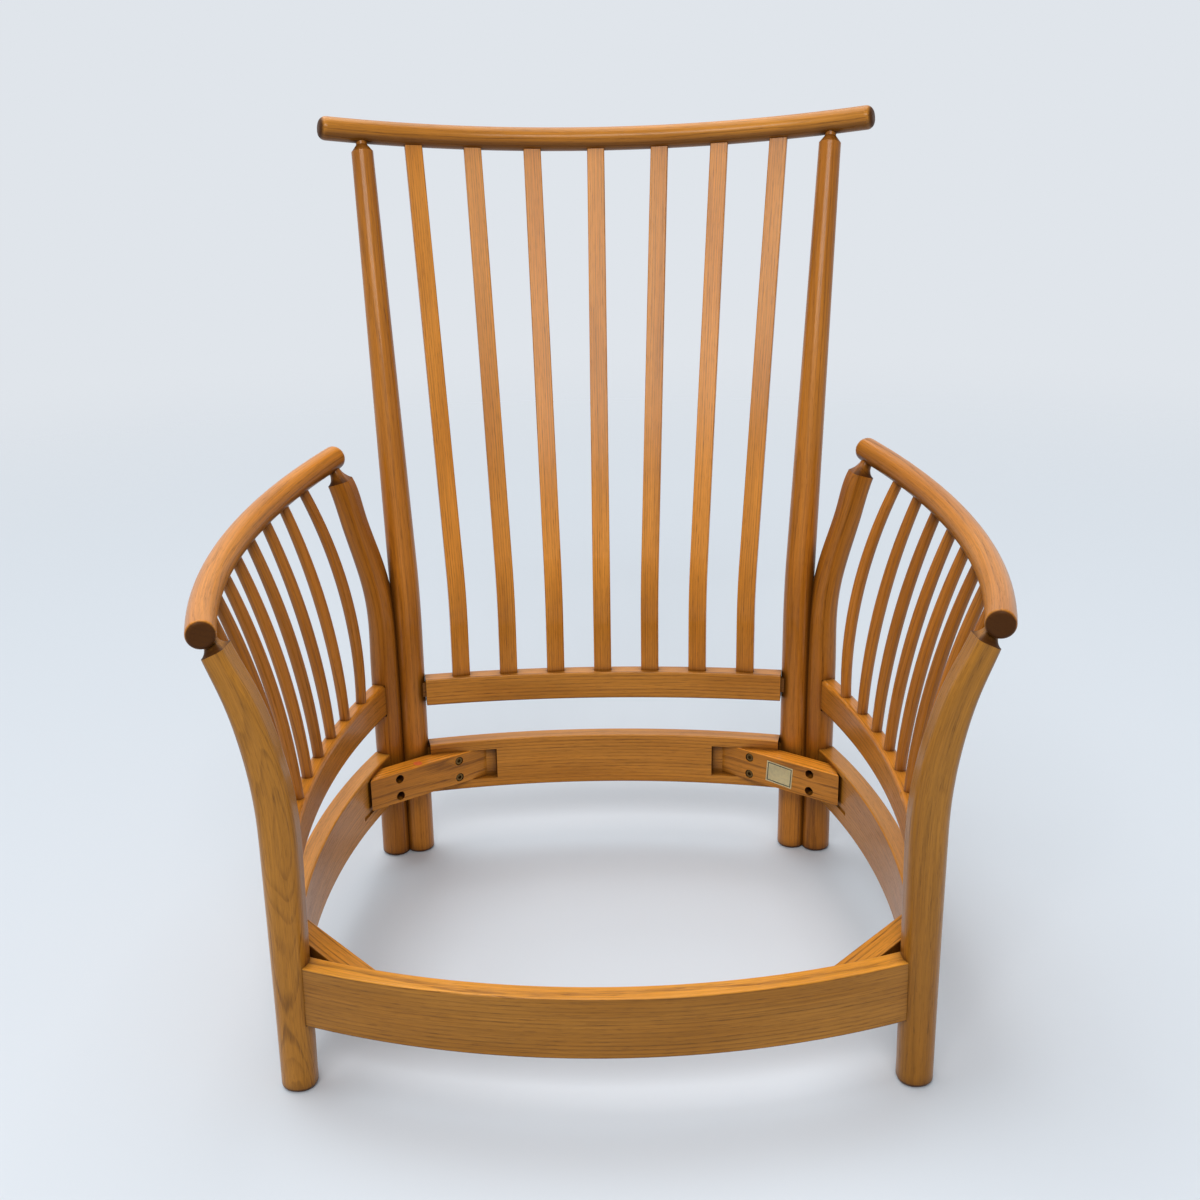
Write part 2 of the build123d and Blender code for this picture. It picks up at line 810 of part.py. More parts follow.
def bolt_group(places):
    """Socket-head bolts, one at each place, seated on the floors of their counterbores."""
    with BuildPart() as bolts:
        for plane, counterbore, length in places:
            floor = plane.offset(glue_gap - counterbore)
            with BuildSketch(floor):
                Circle(bolt_head_diameter / 2)
            extrude(amount=bolt_head_height)
            with BuildSketch(floor.offset(bolt_head_height - bolt_socket_depth)):
                RegularPolygon(bolt_socket_width / 2, 6, major_radius=False)
            extrude(amount=bolt_socket_depth + cut_overrun, mode=Mode.SUBTRACT)
            with BuildSketch(floor):
                Circle(bolt_diameter / 2)
            extrude(amount=-length)
    return bolts.part


rear_bolts = bolt_places(rear_corners, rear_block_top, rear_side_seat, rear_seat)
front_bolts = bolt_places(front_corners, front_block_top, front_side_seat, front_seat)
rear_bolt_cutter = bolt_holes(rear_bolts)
front_bolt_cutter = bolt_holes(front_bolts)
rear_block_cutter = block_blank(rear_corners, rear_block_top, glue_gap)
front_block_cutter = block_blank(front_corners, front_block_top, glue_gap)
rear_rail_housing = housing(
    rear_seat, rear_corners[1:3], rear_housing_spare,
    rear_block_top + glue_gap, block_height + 2 * glue_gap,
)
rear_side_housing = housing(
    rear_side_seat, (rear_corners[0], rear_corners[3]), side_housing_spare,
    rear_block_top + glue_gap, block_height + side_housing_drop,
)

os.makedirs("parts", exist_ok=True)


def keep(piece, label):
    """Name a finished piece and write it."""
    piece.part.label = label
    export_step(piece.part, f"parts/{label}.step")


def keep_pair(piece, label):
    """Keep a right-hand piece and its left-hand copy."""
    keep(piece, f"{label}_right")
    with BuildPart() as left_piece:
        mirror(piece.part, about=Plane.YZ)
    keep(left_piece, f"{label}_left")


# Crest rail
with BuildPart() as crest_rail:
    add(bent_bar(crest_curve, 0))
    fillet(crest_rail.faces().filter_by(GeomType.PLANE).edges(), bar_end_round)
    add(stile_tenon(tenon_gap), mode=Mode.SUBTRACT)
    add(mirrored(stile_tenon(tenon_gap)), mode=Mode.SUBTRACT)
    for cutter in slat_cutters:
        add(cutter, mode=Mode.SUBTRACT)
keep(crest_rail, "crest_rail")

# Back stiles
with BuildPart() as back_stile:
    add(stile_blank(0))
    add(stile_tenon(0))
    add(arm_leg_groove, mode=Mode.SUBTRACT)
    for cutter in (rear_rail_tenon(tenon_gap), lower_rail_tenon(tenon_gap), rear_bolt_cutter):
        add(cutter, mode=Mode.SUBTRACT)
keep_pair(back_stile, "back_stile")

# Back slats, numbered from the left
for number, place in enumerate(slat_places, start=1):
    with BuildPart() as back_slat:
        add(slat_blank(place, 0))
    keep(back_slat, f"back_slat_{number}")

# Lower back rail
with BuildPart() as lower_back_rail:
    add(
        bent_rail(
            lower_rail_curve, -lower_rail_end, lower_rail_end, rail_thickness,
            lower_rail_top, lower_rail_height, rail_edge_round,
        )
    )
    add(lower_rail_tenon(0))
    add(mirrored(lower_rail_tenon(0)))
    for cutter in slat_cutters:
        add(cutter, mode=Mode.SUBTRACT)
keep(lower_back_rail, "lower_back_rail")

# Rear seat rail
with BuildPart() as rear_seat_rail:
    add(
        bent_rail(
            rear_rail_curve, -rear_rail_end, rear_rail_end, rail_thickness,
            rear_rail_top, rail_height, rail_edge_round,
        )
    )
    add(rear_rail_tenon(0))
    add(mirrored(rear_rail_tenon(0)))
    for cutter in (rear_rail_housing, rear_block_cutter, rear_bolt_cutter):
        add(cutter, mode=Mode.SUBTRACT)
        add(mirrored(cutter), mode=Mode.SUBTRACT)
keep(rear_seat_rail, "rear_seat_rail")

# Front seat rail
with BuildPart() as front_seat_rail:
    add(
        bent_rail(
            front_rail_curve, -front_rail_end, front_rail_end, rail_thickness,
            front_rail_top, rail_height, rail_edge_round,
        )
    )
    add(front_rail_tenon(0))
    add(mirrored(front_rail_tenon(0)))
    for cutter in (front_block_cutter, front_bolt_cutter):
        add(cutter, mode=Mode.SUBTRACT)
        add(mirrored(cutter), mode=Mode.SUBTRACT)
keep(front_seat_rail, "front_seat_rail")

# Side seat rails
with BuildPart() as side_seat_rail:
    add(
        bent_rail(
            side_rail_curve, -side_rail_end, side_rail_end, side_rail_thickness,
            side_rail_top, side_rail_height, rail_edge_round,
        )
    )
    add(side_rail_tenon(-side_rail_end, 0))
    add(side_rail_tenon(side_rail_end, 0))
    for cutter in (
        rear_side_housing, rear_block_cutter, front_block_cutter, rear_bolt_cutter, front_bolt_cutter,
    ):
        add(cutter, mode=Mode.SUBTRACT)
keep_pair(side_seat_rail, "side_seat_rail")

# Spindle rails
with BuildPart() as spindle_rail:
    add(
        bent_rail(
            spindle_rail_curve, -spindle_rail_end, spindle_rail_end, spindle_rail_thickness,
            spindle_rail_top, spindle_rail_height, spindle_rail_round,
        )
    )
    add(spindle_rail_tenon(-spindle_rail_end, 0))
    add(spindle_rail_tenon(spindle_rail_end, 0))
    for cutter in spindle_cutters:
        add(cutter, mode=Mode.SUBTRACT)
keep_pair(spindle_rail, "spindle_rail")

# Front legs
with BuildPart() as front_leg:
    add(leg_neck(front_leg_foot, front_leg_heading, front_leg_top, front_leg_target))
    add(leg_blank(front_leg_foot, front_leg_heading, front_leg_rows, 0))
    add(front_leg_tenon(0))
    for cutter in (
        rail_pocket(front_rail_curve, front_rail_end, rail_thickness, front_rail_top, rail_height),
        side_rail_pocket(-side_rail_end),
        spindle_rail_pocket(-spindle_rail_end),
        front_rail_tenon(tenon_gap),
        side_rail_tenon(-side_rail_end, tenon_gap),
        spindle_rail_tenon(-spindle_rail_end, tenon_gap),
    ):
        add(cutter, mode=Mode.SUBTRACT)
keep_pair(front_leg, "front_leg")

# Rear arm legs
with BuildPart() as rear_arm_leg:
    add(leg_neck(arm_leg_foot, arm_leg_heading, arm_leg_top, arm_leg_target))
    add(leg_blank(arm_leg_foot, arm_leg_heading, arm_leg_rows, 0))
    add(arm_leg_tenon(0))
    for cutter in (
        side_rail_pocket(side_rail_end),
        spindle_rail_pocket(spindle_rail_end),
        side_rail_tenon(side_rail_end, tenon_gap),
        spindle_rail_tenon(spindle_rail_end, tenon_gap),
        rear_bolt_cutter,
    ):
        add(cutter, mode=Mode.SUBTRACT)
keep_pair(rear_arm_leg, "rear_arm_leg")

# Arms
with BuildPart() as arm:
    add(bent_bar(arm_curve, 0))
    arm_ends = arm.faces().filter_by(GeomType.PLANE).sort_by(Axis.Y)
    fillet(arm_ends[0].edges(), arm_front_round)
    arm_ends = arm.faces().filter_by(GeomType.PLANE).sort_by(Axis.Y)
    fillet(arm_ends[-1].edges(), bar_end_round)
    add(front_leg_tenon(tenon_gap), mode=Mode.SUBTRACT)
    add(arm_leg_tenon(tenon_gap), mode=Mode.SUBTRACT)
    for cutter in spindle_cutters:
        add(cutter, mode=Mode.SUBTRACT)
keep_pair(arm, "arm")

# Arm spindles, numbered from the rear
for number in range(spindle_count):
    with BuildPart() as arm_spindle:
        add(spindle_shape(number, 0))
    keep(arm_spindle, f"arm_spindle_right_{number + 1}")
    with BuildPart() as arm_spindle_left:
        mirror(arm_spindle.part, about=Plane.YZ)
    keep(arm_spindle_left, f"arm_spindle_left_{number + 1}")

# Corner blocks and their bolts
for end, corners, top, cutter, bolts in (
    ("rear", rear_corners, rear_block_top, rear_bolt_cutter, rear_bolts),
    ("front", front_corners, front_block_top, front_bolt_cutter, front_bolts),
):
    with BuildPart() as corner_block:
        add(block_blank(corners, top, 0))
        add(cutter, mode=Mode.SUBTRACT)
    keep_pair(corner_block, f"{end}_corner_block")
    with BuildPart() as block_bolts:
        add(bolt_group(bolts))
    keep_pair(block_bolts, f"{end}_block_bolts")
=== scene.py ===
from collections import namedtuple
from math import asin, atan2, cos, hypot, pi, radians, sin

import bmesh
import bpy
from mathutils import Matrix, Vector


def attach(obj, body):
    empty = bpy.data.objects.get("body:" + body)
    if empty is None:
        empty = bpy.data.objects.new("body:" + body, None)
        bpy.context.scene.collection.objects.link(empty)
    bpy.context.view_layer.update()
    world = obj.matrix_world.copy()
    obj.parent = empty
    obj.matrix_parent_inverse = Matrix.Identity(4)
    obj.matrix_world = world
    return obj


bl_info = {
    "name": "Easy Chair Frame",
    "version": (1, 0, 0),
    "blender": (4, 5, 0),
    "location": "View3D > Sidebar > Easy Chair",
    "description": "Gives a packed easy chair frame its wood, metal, label and stage",
    "category": "Object",
}

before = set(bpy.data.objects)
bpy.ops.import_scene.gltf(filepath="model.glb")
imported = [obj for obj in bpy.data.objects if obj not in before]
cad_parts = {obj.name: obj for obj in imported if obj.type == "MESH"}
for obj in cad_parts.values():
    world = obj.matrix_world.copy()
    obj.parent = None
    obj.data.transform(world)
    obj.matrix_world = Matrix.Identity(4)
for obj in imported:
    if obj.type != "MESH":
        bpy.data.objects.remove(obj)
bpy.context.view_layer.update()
SIDES = {"right": 1, "left": -1}


def linear(red, green, blue):
    """A colour of 0 to 255 as a screen shows it, in the linear values that shaders use."""
    shares = [value / 255 for value in (red, green, blue)]
    return tuple(s / 12.92 if s <= 0.04045 else ((s + 0.055) / 1.055) ** 2.4 for s in shares)


# How the grain runs in a piece, in metres. A bow is an arc between two points, a post
# stands on a foot and bends at a height. An arc is the circle that a bow lies on.
Bow = namedtuple("Bow", "start finish rise toward")
Post = namedtuple("Post", "foot heading bend_start radius limit")
Arc = namedtuple("Arc", "centre outward along radius half")

# Depths of the legs' lines, with the origin in the middle of the chair
FRONT_LEG_Y = -0.37003
ARM_LEG_Y = FRONT_LEG_Y + 0.543
STILE_Y = FRONT_LEG_Y + 0.5525

CREST_RAKE = radians(18.5)
CREST_HALF = 0.371
CREST_END_Y = STILE_Y + 0.1792
CREST_END_HEIGHT = 0.9826
CREST_BOW = Bow(
    (-CREST_HALF, CREST_END_Y, CREST_END_HEIGHT), (CREST_HALF, CREST_END_Y, CREST_END_HEIGHT),
    0.075, (0, cos(CREST_RAKE), -sin(CREST_RAKE)),
)
ARM_DROOP = radians(7)
ARM_BOW = Bow(
    (0.3903, FRONT_LEG_Y - 0.014, 0.5285), (0.3484, ARM_LEG_Y + 0.03, 0.5708), 0.0485,
    (cos(ARM_DROOP), 0, -sin(ARM_DROOP)),
)


def cross_bow(half, y, height, rise, way):
    """The bow of a rail across the chair, bent to the rear, or to the front for a way of -1."""
    return Bow((-half, y, height), (half, y, height), rise, (0, way, 0))


def side_bow(front_x, rear_x, height, rise):
    """The bow of a rail along the right side, from front leg to rear arm leg."""
    return Bow((front_x, FRONT_LEG_Y, height), (rear_x, ARM_LEG_Y, height), rise, (1, 0, 0))


FRONT_RAIL_BOW = cross_bow(0.3365, FRONT_LEG_Y + 0.0045, 0.1175, 0.071, -1)
REAR_RAIL_BOW = cross_bow(0.266, STILE_Y - 0.0109, 0.13, 0.0344, 1)
LOWER_RAIL_BOW = cross_bow(0.266, STILE_Y - 0.0122, 0.2455, 0.0248, 1)
SIDE_RAIL_BOW = side_bow(0.338, 0.30275, 0.1215, 0.0335)
SPINDLE_RAIL_BOW = side_bow(0.334, 0.30225, 0.238, 0.0305)

# The corner blocks are straight, which is a bow of next to no rise
STRAIGHT = 0.00002
REAR_BLOCK_BOW = Bow((0.3161, 0.0967, 0.13), (0.1971, 0.1867, 0.13), STRAIGHT, (0, 0, 1))
FRONT_BLOCK_BOW = Bow((0.3401, -0.2916, 0.13), (0.2603, -0.3848, 0.13), STRAIGHT, (0, 0, 1))

STILE_POST = Post((0.266, STILE_Y, 0), radians(75.48), 0.3299, 0.26, radians(18.81))
FRONT_LEG_POST = Post((0.3365, FRONT_LEG_Y, 0), radians(4.79), 0.296, 0.49, radians(60))
ARM_LEG_POST = Post((0.29825, ARM_LEG_Y, 0), radians(7.57), 0.335, 0.345, radians(16))

# Slats: half the spread of the outer two, below and above, and where a slat bends
MIDDLE_SLAT = 4
SLAT_FOOT_SPREAD = 0.1955
SLAT_HEAD_SPREAD = 0.25
SLAT_HEAD_SHARES = (0.0, 0.354, 0.682, 1.0)
SLAT_BEND_HEIGHT = 0.378
SLAT_BEND_START = 0.334
SLAT_BEND_RADIUS = 0.23

# Spindles: the first one's distance from the rear end of its rail, and from that of the arm
SPINDLE_COUNT = 8
SPINDLE_PITCH = 0.058
SPINDLE_FIRST = 0.082
SPINDLE_FIRST_ON_ARM = 0.104
SPINDLE_FOOT_HEIGHT = 0.246
SPINDLE_RISE = 0.0124
SPINDLE_RISE_SHARES = (1.65, 1.1)


def flipped(vector, way):
    """A vector for the right side of the chair, or its mirror image for the left."""
    return Vector((vector[0] * way, vector[1], vector[2]))


def arc_of(bow, way=1):
    """The circle that a bow lies on, on the right side of the chair or mirrored to the left."""
    start, finish, toward = (flipped(v, way) for v in (bow.start, bow.finish, bow.toward))
    along = (finish - start).normalized()
    outward = (toward - along * toward.dot(along)).normalized()
    reach = (finish - start).length / 2
    radius = (reach**2 + bow.rise**2) / (2 * bow.rise)
    centre = (start + finish) / 2 - outward * (radius - bow.rise)
    return Arc(centre, outward, along, radius, asin(reach / radius))


def point_on(arc, angle):
    """A point on an arc, at an angle from its middle towards its finish."""
    return arc.centre + (arc.outward * cos(angle) + arc.along * sin(angle)) * arc.radius


def slat_run(place):
    """The side that a slat is on, counted from the middle one, and the post it follows."""
    spread, way = abs(place), -1 if place < 0 else 1
    rail, crest = arc_of(LOWER_RAIL_BOW), arc_of(CREST_BOW)
    foot = point_on(rail, asin(SLAT_FOOT_SPREAD * spread / (MIDDLE_SLAT - 1) / rail.radius))
    head = point_on(crest, asin(SLAT_HEAD_SPREAD * SLAT_HEAD_SHARES[spread] / crest.radius))
    lean = head - foot
    rake = atan2(hypot(lean.x, lean.y), head.z - SLAT_BEND_HEIGHT)
    return way, Post((foot.x, foot.y, 0), atan2(lean.y, lean.x), SLAT_BEND_START,
                     SLAT_BEND_RADIUS, rake)


def spindle_run(number):
    """The bow that a right-hand spindle follows, counted from the rear."""
    rail, arm = arc_of(SPINDLE_RAIL_BOW), arc_of(ARM_BOW)
    step = SPINDLE_PITCH * number
    foot = point_on(rail, rail.half - (SPINDLE_FIRST + step) / rail.radius)
    foot.z = SPINDLE_FOOT_HEIGHT
    head = point_on(arm, arm.half - (SPINDLE_FIRST_ON_ARM + step) / arm.radius)
    share = SPINDLE_RISE_SHARES[number] if number < len(SPINDLE_RISE_SHARES) else 1
    return Bow(foot, head, SPINDLE_RISE * share, (-1, 0, 0))


# How a board was cut: where its pith lies outward and sideways of the piece's own line,
# the width of a year's ring, how much the rings waver along the piece, and how strongly
# they and the pores show. Tone is how pale the board is, warmth how red, and painted top
# light how much paler its top is painted, as painted light falling from above
Cut = namedtuple(
    "Cut", "pith_out pith_side ring_width waver ring_depth pore_depth tone warmth bleach",
    defaults=(0.35,),
)


class ChairWood(bpy.types.PropertyGroup):
    light_wood: bpy.props.FloatVectorProperty(
        name="Light wood", description="Colour of the pale late wood under the lacquer",
        default=(0.62, 0.255, 0.03), subtype="COLOR", min=0, max=1,
    )
    middle_wood: bpy.props.FloatVectorProperty(
        name="Middle wood", description="Colour of the amber bands between the rings",
        default=(0.5, 0.19, 0.015), subtype="COLOR", min=0, max=1,
    )
    dark_wood: bpy.props.FloatVectorProperty(
        name="Dark wood", description="Colour of the porous early wood and of the pores",
        default=(0.16, 0.055, 0.006), subtype="COLOR", min=0, max=1,
    )
    # Reach of the grime and of the painted shade in the corners and between parts
    grime_and_shade_reach: bpy.props.FloatProperty(
        name="Dirt reach", description="How far old polish and dirt spread from a joint",
        default=0.018, unit="LENGTH", min=0,
    )
    edge_width: bpy.props.FloatProperty(
        name="Edge width", description="Width of the rubbed edges",
        default=0.0022, unit="LENGTH", min=0,
    )


class ChairTrim(bpy.types.PropertyGroup):
    bolt_steel: bpy.props.FloatVectorProperty(
        name="Bolt steel", description="Colour of the bolts",
        default=linear(112, 88, 52), subtype="COLOR", min=0, max=1,
    )
    label_size: bpy.props.FloatVectorProperty(
        name="Label size", description="Width and height of the paper label",
        default=(0.041, 0.0305), size=2, unit="LENGTH",
    )
    label_paper: bpy.props.FloatVectorProperty(
        name="Label paper", description="Colour of the label's paper",
        default=linear(255, 240, 190), subtype="COLOR", min=0, max=1,
    )
    label_ink: bpy.props.FloatVectorProperty(
        name="Label ink", description="Colour of the label's border",
        default=linear(30, 40, 62), subtype="COLOR", min=0, max=1,
    )
    sticker_diameter: bpy.props.FloatProperty(
        name="Sticker diameter", description="Diameter of the round sticker",
        default=0.0122, unit="LENGTH", min=0,
    )
    sticker_colour: bpy.props.FloatVectorProperty(
        name="Sticker colour", description="Colour of the round sticker",
        default=linear(255, 120, 62), subtype="COLOR", min=0, max=1,
    )


class ChairStage(bpy.types.PropertyGroup):
    backdrop: bpy.props.FloatVectorProperty(
        name="Backdrop", description="Colour of the floor and the background",
        default=linear(224, 229, 235), subtype="COLOR", min=0, max=1,
    )
    key_strength: bpy.props.FloatProperty(
        name="Key strength", description="Strength of the soft light from above", default=1.9, min=0
    )
    sky_strength: bpy.props.FloatProperty(
        name="Sky strength", description="Strength of the even light from all round",
        default=0.32, min=0,
    )


# How the wood's figure is drawn. A stretch is how often the noise changes in a metre
# along, outward and sideways in the piece.
WAVER_OUT_STRETCH = (5.5, 2.0, 2.0)
WAVER_SIDE_STRETCH = (4.3, 3.0, 1.0)
RIPPLE_STRETCH = (14.0, 70.0, 70.0)
RIPPLE_DEPTH = 0.0016
BREAK_STRETCH = (26.0, 420.0, 420.0)
PORE_STRETCH = (60.0, 1300.0, 1300.0)
FIBRE_STRETCH = (9.0, 620.0, 620.0)
FIBRE_CONTRAST = 0.75
CLOUD_STRETCH = (3.5, 22.0, 22.0)
SEED_STEP = 3.7

# End grain, by how squarely the surface cuts the grain
END_GRAIN_FACING = (0.4, 0.8)
END_GRAIN_SHARE = 0.93
END_GRAIN_COLOUR = (0.036, 0.008, 0.001)

# Age and painted light: painted shade under, grime and painted shade in corners, rubbed edges
SHADE_COLOUR = (0.05, 0.012, 0.0)
GRIME_AND_SHADE_COLOUR = (0.04, 0.01, 0.001)
GRIME_AND_SHADE_SHARE = 0.75
RUB_SHARE = 0.3
UNDERSIDE_SHADE_SHARE = 0.7

# The lacquer, which is thinner on end grain
LACQUER_COAT = 0.3
END_COAT_CHANGE = -0.25
LACQUER_ROUGHNESS = 0.15
LACQUER_IOR = 1.48
SHEEN_LEVEL = 0.25
SHEEN_TINT = (1.0, 0.72, 0.42, 1.0)
WOOD_BUMP = {"Strength": 0.35, "Distance": 0.0004}

# How much of its red, green and blue a fully warm board loses
WARMTH_TINT = (0.0, 0.3, 0.6)

# Metal and paper
STEEL_SCRATCHES = {"Scale": 900.0, "Depth": 1.0}
STEEL_BUMP = {"Strength": 0.25, "Distance": 0.0002}
PAPER_SCRATCHES = {"Scale": 1600.0, "Depth": 1.0}
PAPER_BUMP = {"Strength": 0.2, "Distance": 0.0001}
PAPER_SOIL = {"Scale": 240.0, "Detail": 4.0}
PAPER_SOIL_RANGE = (0.35, 0.7)
PAPER_SOIL_SHADE = 0.9
PAPER_ROUGHNESS = 0.7
INK_ROUGHNESS = 0.6
STICKER_ROUGHNESS = 0.45


def put(tree, kind, inputs=None, **settings):
    """Add a node to a tree. Each input gets a value, or a link where it is a socket."""
    node = tree.nodes.new(kind)
    for name, value in settings.items():
        setattr(node, name, value)
    for name, value in (inputs or {}).items():
        if isinstance(value, bpy.types.NodeSocket):
            tree.links.new(value, node.inputs[name])
        else:
            node.inputs[name].default_value = value
    return node


def calc(tree, operation, *values):
    """A number worked out from up to three numbers."""
    return put(tree, "ShaderNodeMath", dict(enumerate(values)), operation=operation).outputs[0]


def vector_calc(tree, operation, *values):
    """A vector or number worked out from up to two vectors."""
    node = put(tree, "ShaderNodeVectorMath", dict(enumerate(values)), operation=operation)
    return node.outputs["Value" if operation == "DOT_PRODUCT" else "Vector"]


def scaled(tree, vector, factor):
    """A vector or colour times a number."""
    inputs = {"Vector": vector, "Scale": factor}
    return put(tree, "ShaderNodeVectorMath", inputs, operation="SCALE").outputs["Vector"]


def eased(tree, value, low, high, to_low=0.0, to_high=1.0):
    """A value mapped smoothly from one range to another."""
    inputs = {"Value": value, "From Min": low, "From Max": high, "To Min": to_low, "To Max": to_high}
    node = put(tree, "ShaderNodeMapRange", inputs, interpolation_type="SMOOTHSTEP")
    return node.outputs["Result"]


def blended(tree, factor, first, second):
    """Two colours mixed by a factor."""
    node = put(tree, "ShaderNodeMix", data_type="RGBA")
    colours = [socket for socket in node.inputs if socket.type == "RGBA"]
    for socket, value in ((node.inputs["Factor"], factor), (colours[0], first), (colours[1], second)):
        if isinstance(value, bpy.types.NodeSocket):
            tree.links.new(value, socket)
        elif socket.type == "RGBA":
            socket.default_value = (*value, 1)
        else:
            socket.default_value = value
    return next(socket for socket in node.outputs if socket.type == "RGBA")


def streaks(tree, place, stretch, detail=2.0):
    """Noise over a place in the wood, stretched by shares along, outward and sideways."""
    spread = vector_calc(tree, "MULTIPLY", place, stretch)
    inputs = {"Vector": spread, "Scale": 1.0, "Detail": detail, "Roughness": 0.55}
    return put(tree, "ShaderNodeTexNoise", inputs).outputs["Fac"]


def new_group(name, inputs, outputs):
    """A shader node group with named sockets, and its input and output nodes."""
    group = bpy.data.node_groups.new(name, "ShaderNodeTree")
    kinds = {"float": "NodeSocketFloat", "vector": "NodeSocketVector", "colour": "NodeSocketColor"}
    for label, kind in inputs:
        group.interface.new_socket(label, in_out="INPUT", socket_type=kinds[kind])
    for label, kind in outputs:
        group.interface.new_socket(label, in_out="OUTPUT", socket_type=kinds[kind])
    given = group.nodes.new("NodeGroupInput").outputs
    result = group.nodes.new("NodeGroupOutput").inputs
    return group, given, result


def bowed_run_group():
    """Where a point lies in a piece that is bent to an arc, and which way its grain runs."""
    group, given, result = new_group(
        "Bowed run",
        (("Centre", "vector"), ("Outward", "vector"), ("Along", "vector"), ("Radius", "float")),
        (("Place", "vector"), ("Run", "vector")),
    )
    point = put(group, "ShaderNodeTexCoord").outputs["Object"]
    offset = vector_calc(group, "SUBTRACT", point, given["Centre"])
    upward = vector_calc(group, "CROSS_PRODUCT", given["Outward"], given["Along"])
    out = vector_calc(group, "DOT_PRODUCT", offset, given["Outward"])
    along = vector_calc(group, "DOT_PRODUCT", offset, given["Along"])
    side = vector_calc(group, "DOT_PRODUCT", offset, upward)
    turn = calc(group, "ARCTAN2", along, out)
    reach = calc(group, "SQRT", calc(group, "ADD", calc(group, "MULTIPLY", along, along),
                                     calc(group, "MULTIPLY", out, out)))
    place = put(group, "ShaderNodeCombineXYZ", {
        "X": calc(group, "MULTIPLY", turn, given["Radius"]),
        "Y": calc(group, "SUBTRACT", reach, given["Radius"]),
        "Z": side,
    })
    forward = scaled(group, given["Along"], calc(group, "COSINE", turn))
    sideways = scaled(group, given["Outward"], calc(group, "SINE", turn))
    group.links.new(place.outputs[0], result["Place"])
    group.links.new(vector_calc(group, "SUBTRACT", forward, sideways), result["Run"])
    return group


def post_run_group():
    """Where a point lies in a post that bends at a height, and which way its grain runs."""
    group, given, result = new_group(
        "Post run",
        (("Foot", "vector"), ("Heading", "vector"), ("Bend Start", "float"),
         ("Bend Radius", "float"), ("Bend Limit", "float")),
        (("Place", "vector"), ("Run", "vector")),
    )
    point = put(group, "ShaderNodeTexCoord").outputs["Object"]
    offset = vector_calc(group, "SUBTRACT", point, given["Foot"])
    height = put(group, "ShaderNodeSeparateXYZ", {"Vector": offset}).outputs["Z"]
    rise = calc(group, "MAXIMUM", calc(group, "SUBTRACT", height, given["Bend Start"]), 0.0)
    full_turn = calc(group, "MULTIPLY", given["Bend Radius"], calc(group, "SINE", given["Bend Limit"]))
    turn_rise = calc(group, "MINIMUM", rise, full_turn)
    lean = calc(group, "DIVIDE", turn_rise, given["Bend Radius"])
    upright = calc(group, "SQRT", calc(group, "SUBTRACT", 1.0, calc(group, "MULTIPLY", lean, lean)))
    arc_shift = calc(group, "MULTIPLY", given["Bend Radius"], calc(group, "SUBTRACT", 1.0, upright))
    straight_rise = calc(group, "SUBTRACT", rise, turn_rise)
    straight_shift = calc(group, "MULTIPLY", straight_rise, calc(group, "TANGENT", given["Bend Limit"]))
    shift = calc(group, "ADD", arc_shift, straight_shift)
    across = vector_calc(group, "DOT_PRODUCT", offset, given["Heading"])
    across = calc(group, "MULTIPLY", calc(group, "SUBTRACT", across, shift), upright)
    sideways = vector_calc(group, "CROSS_PRODUCT", (0, 0, 1), given["Heading"])
    place = put(group, "ShaderNodeCombineXYZ", {
        "X": height, "Y": across, "Z": vector_calc(group, "DOT_PRODUCT", offset, sideways),
    })
    leaning = scaled(group, given["Heading"], lean)
    rising = put(group, "ShaderNodeCombineXYZ", {"Z": upright}).outputs[0]
    group.links.new(place.outputs[0], result["Place"])
    group.links.new(vector_calc(group, "ADD", leaning, rising), result["Run"])
    return group


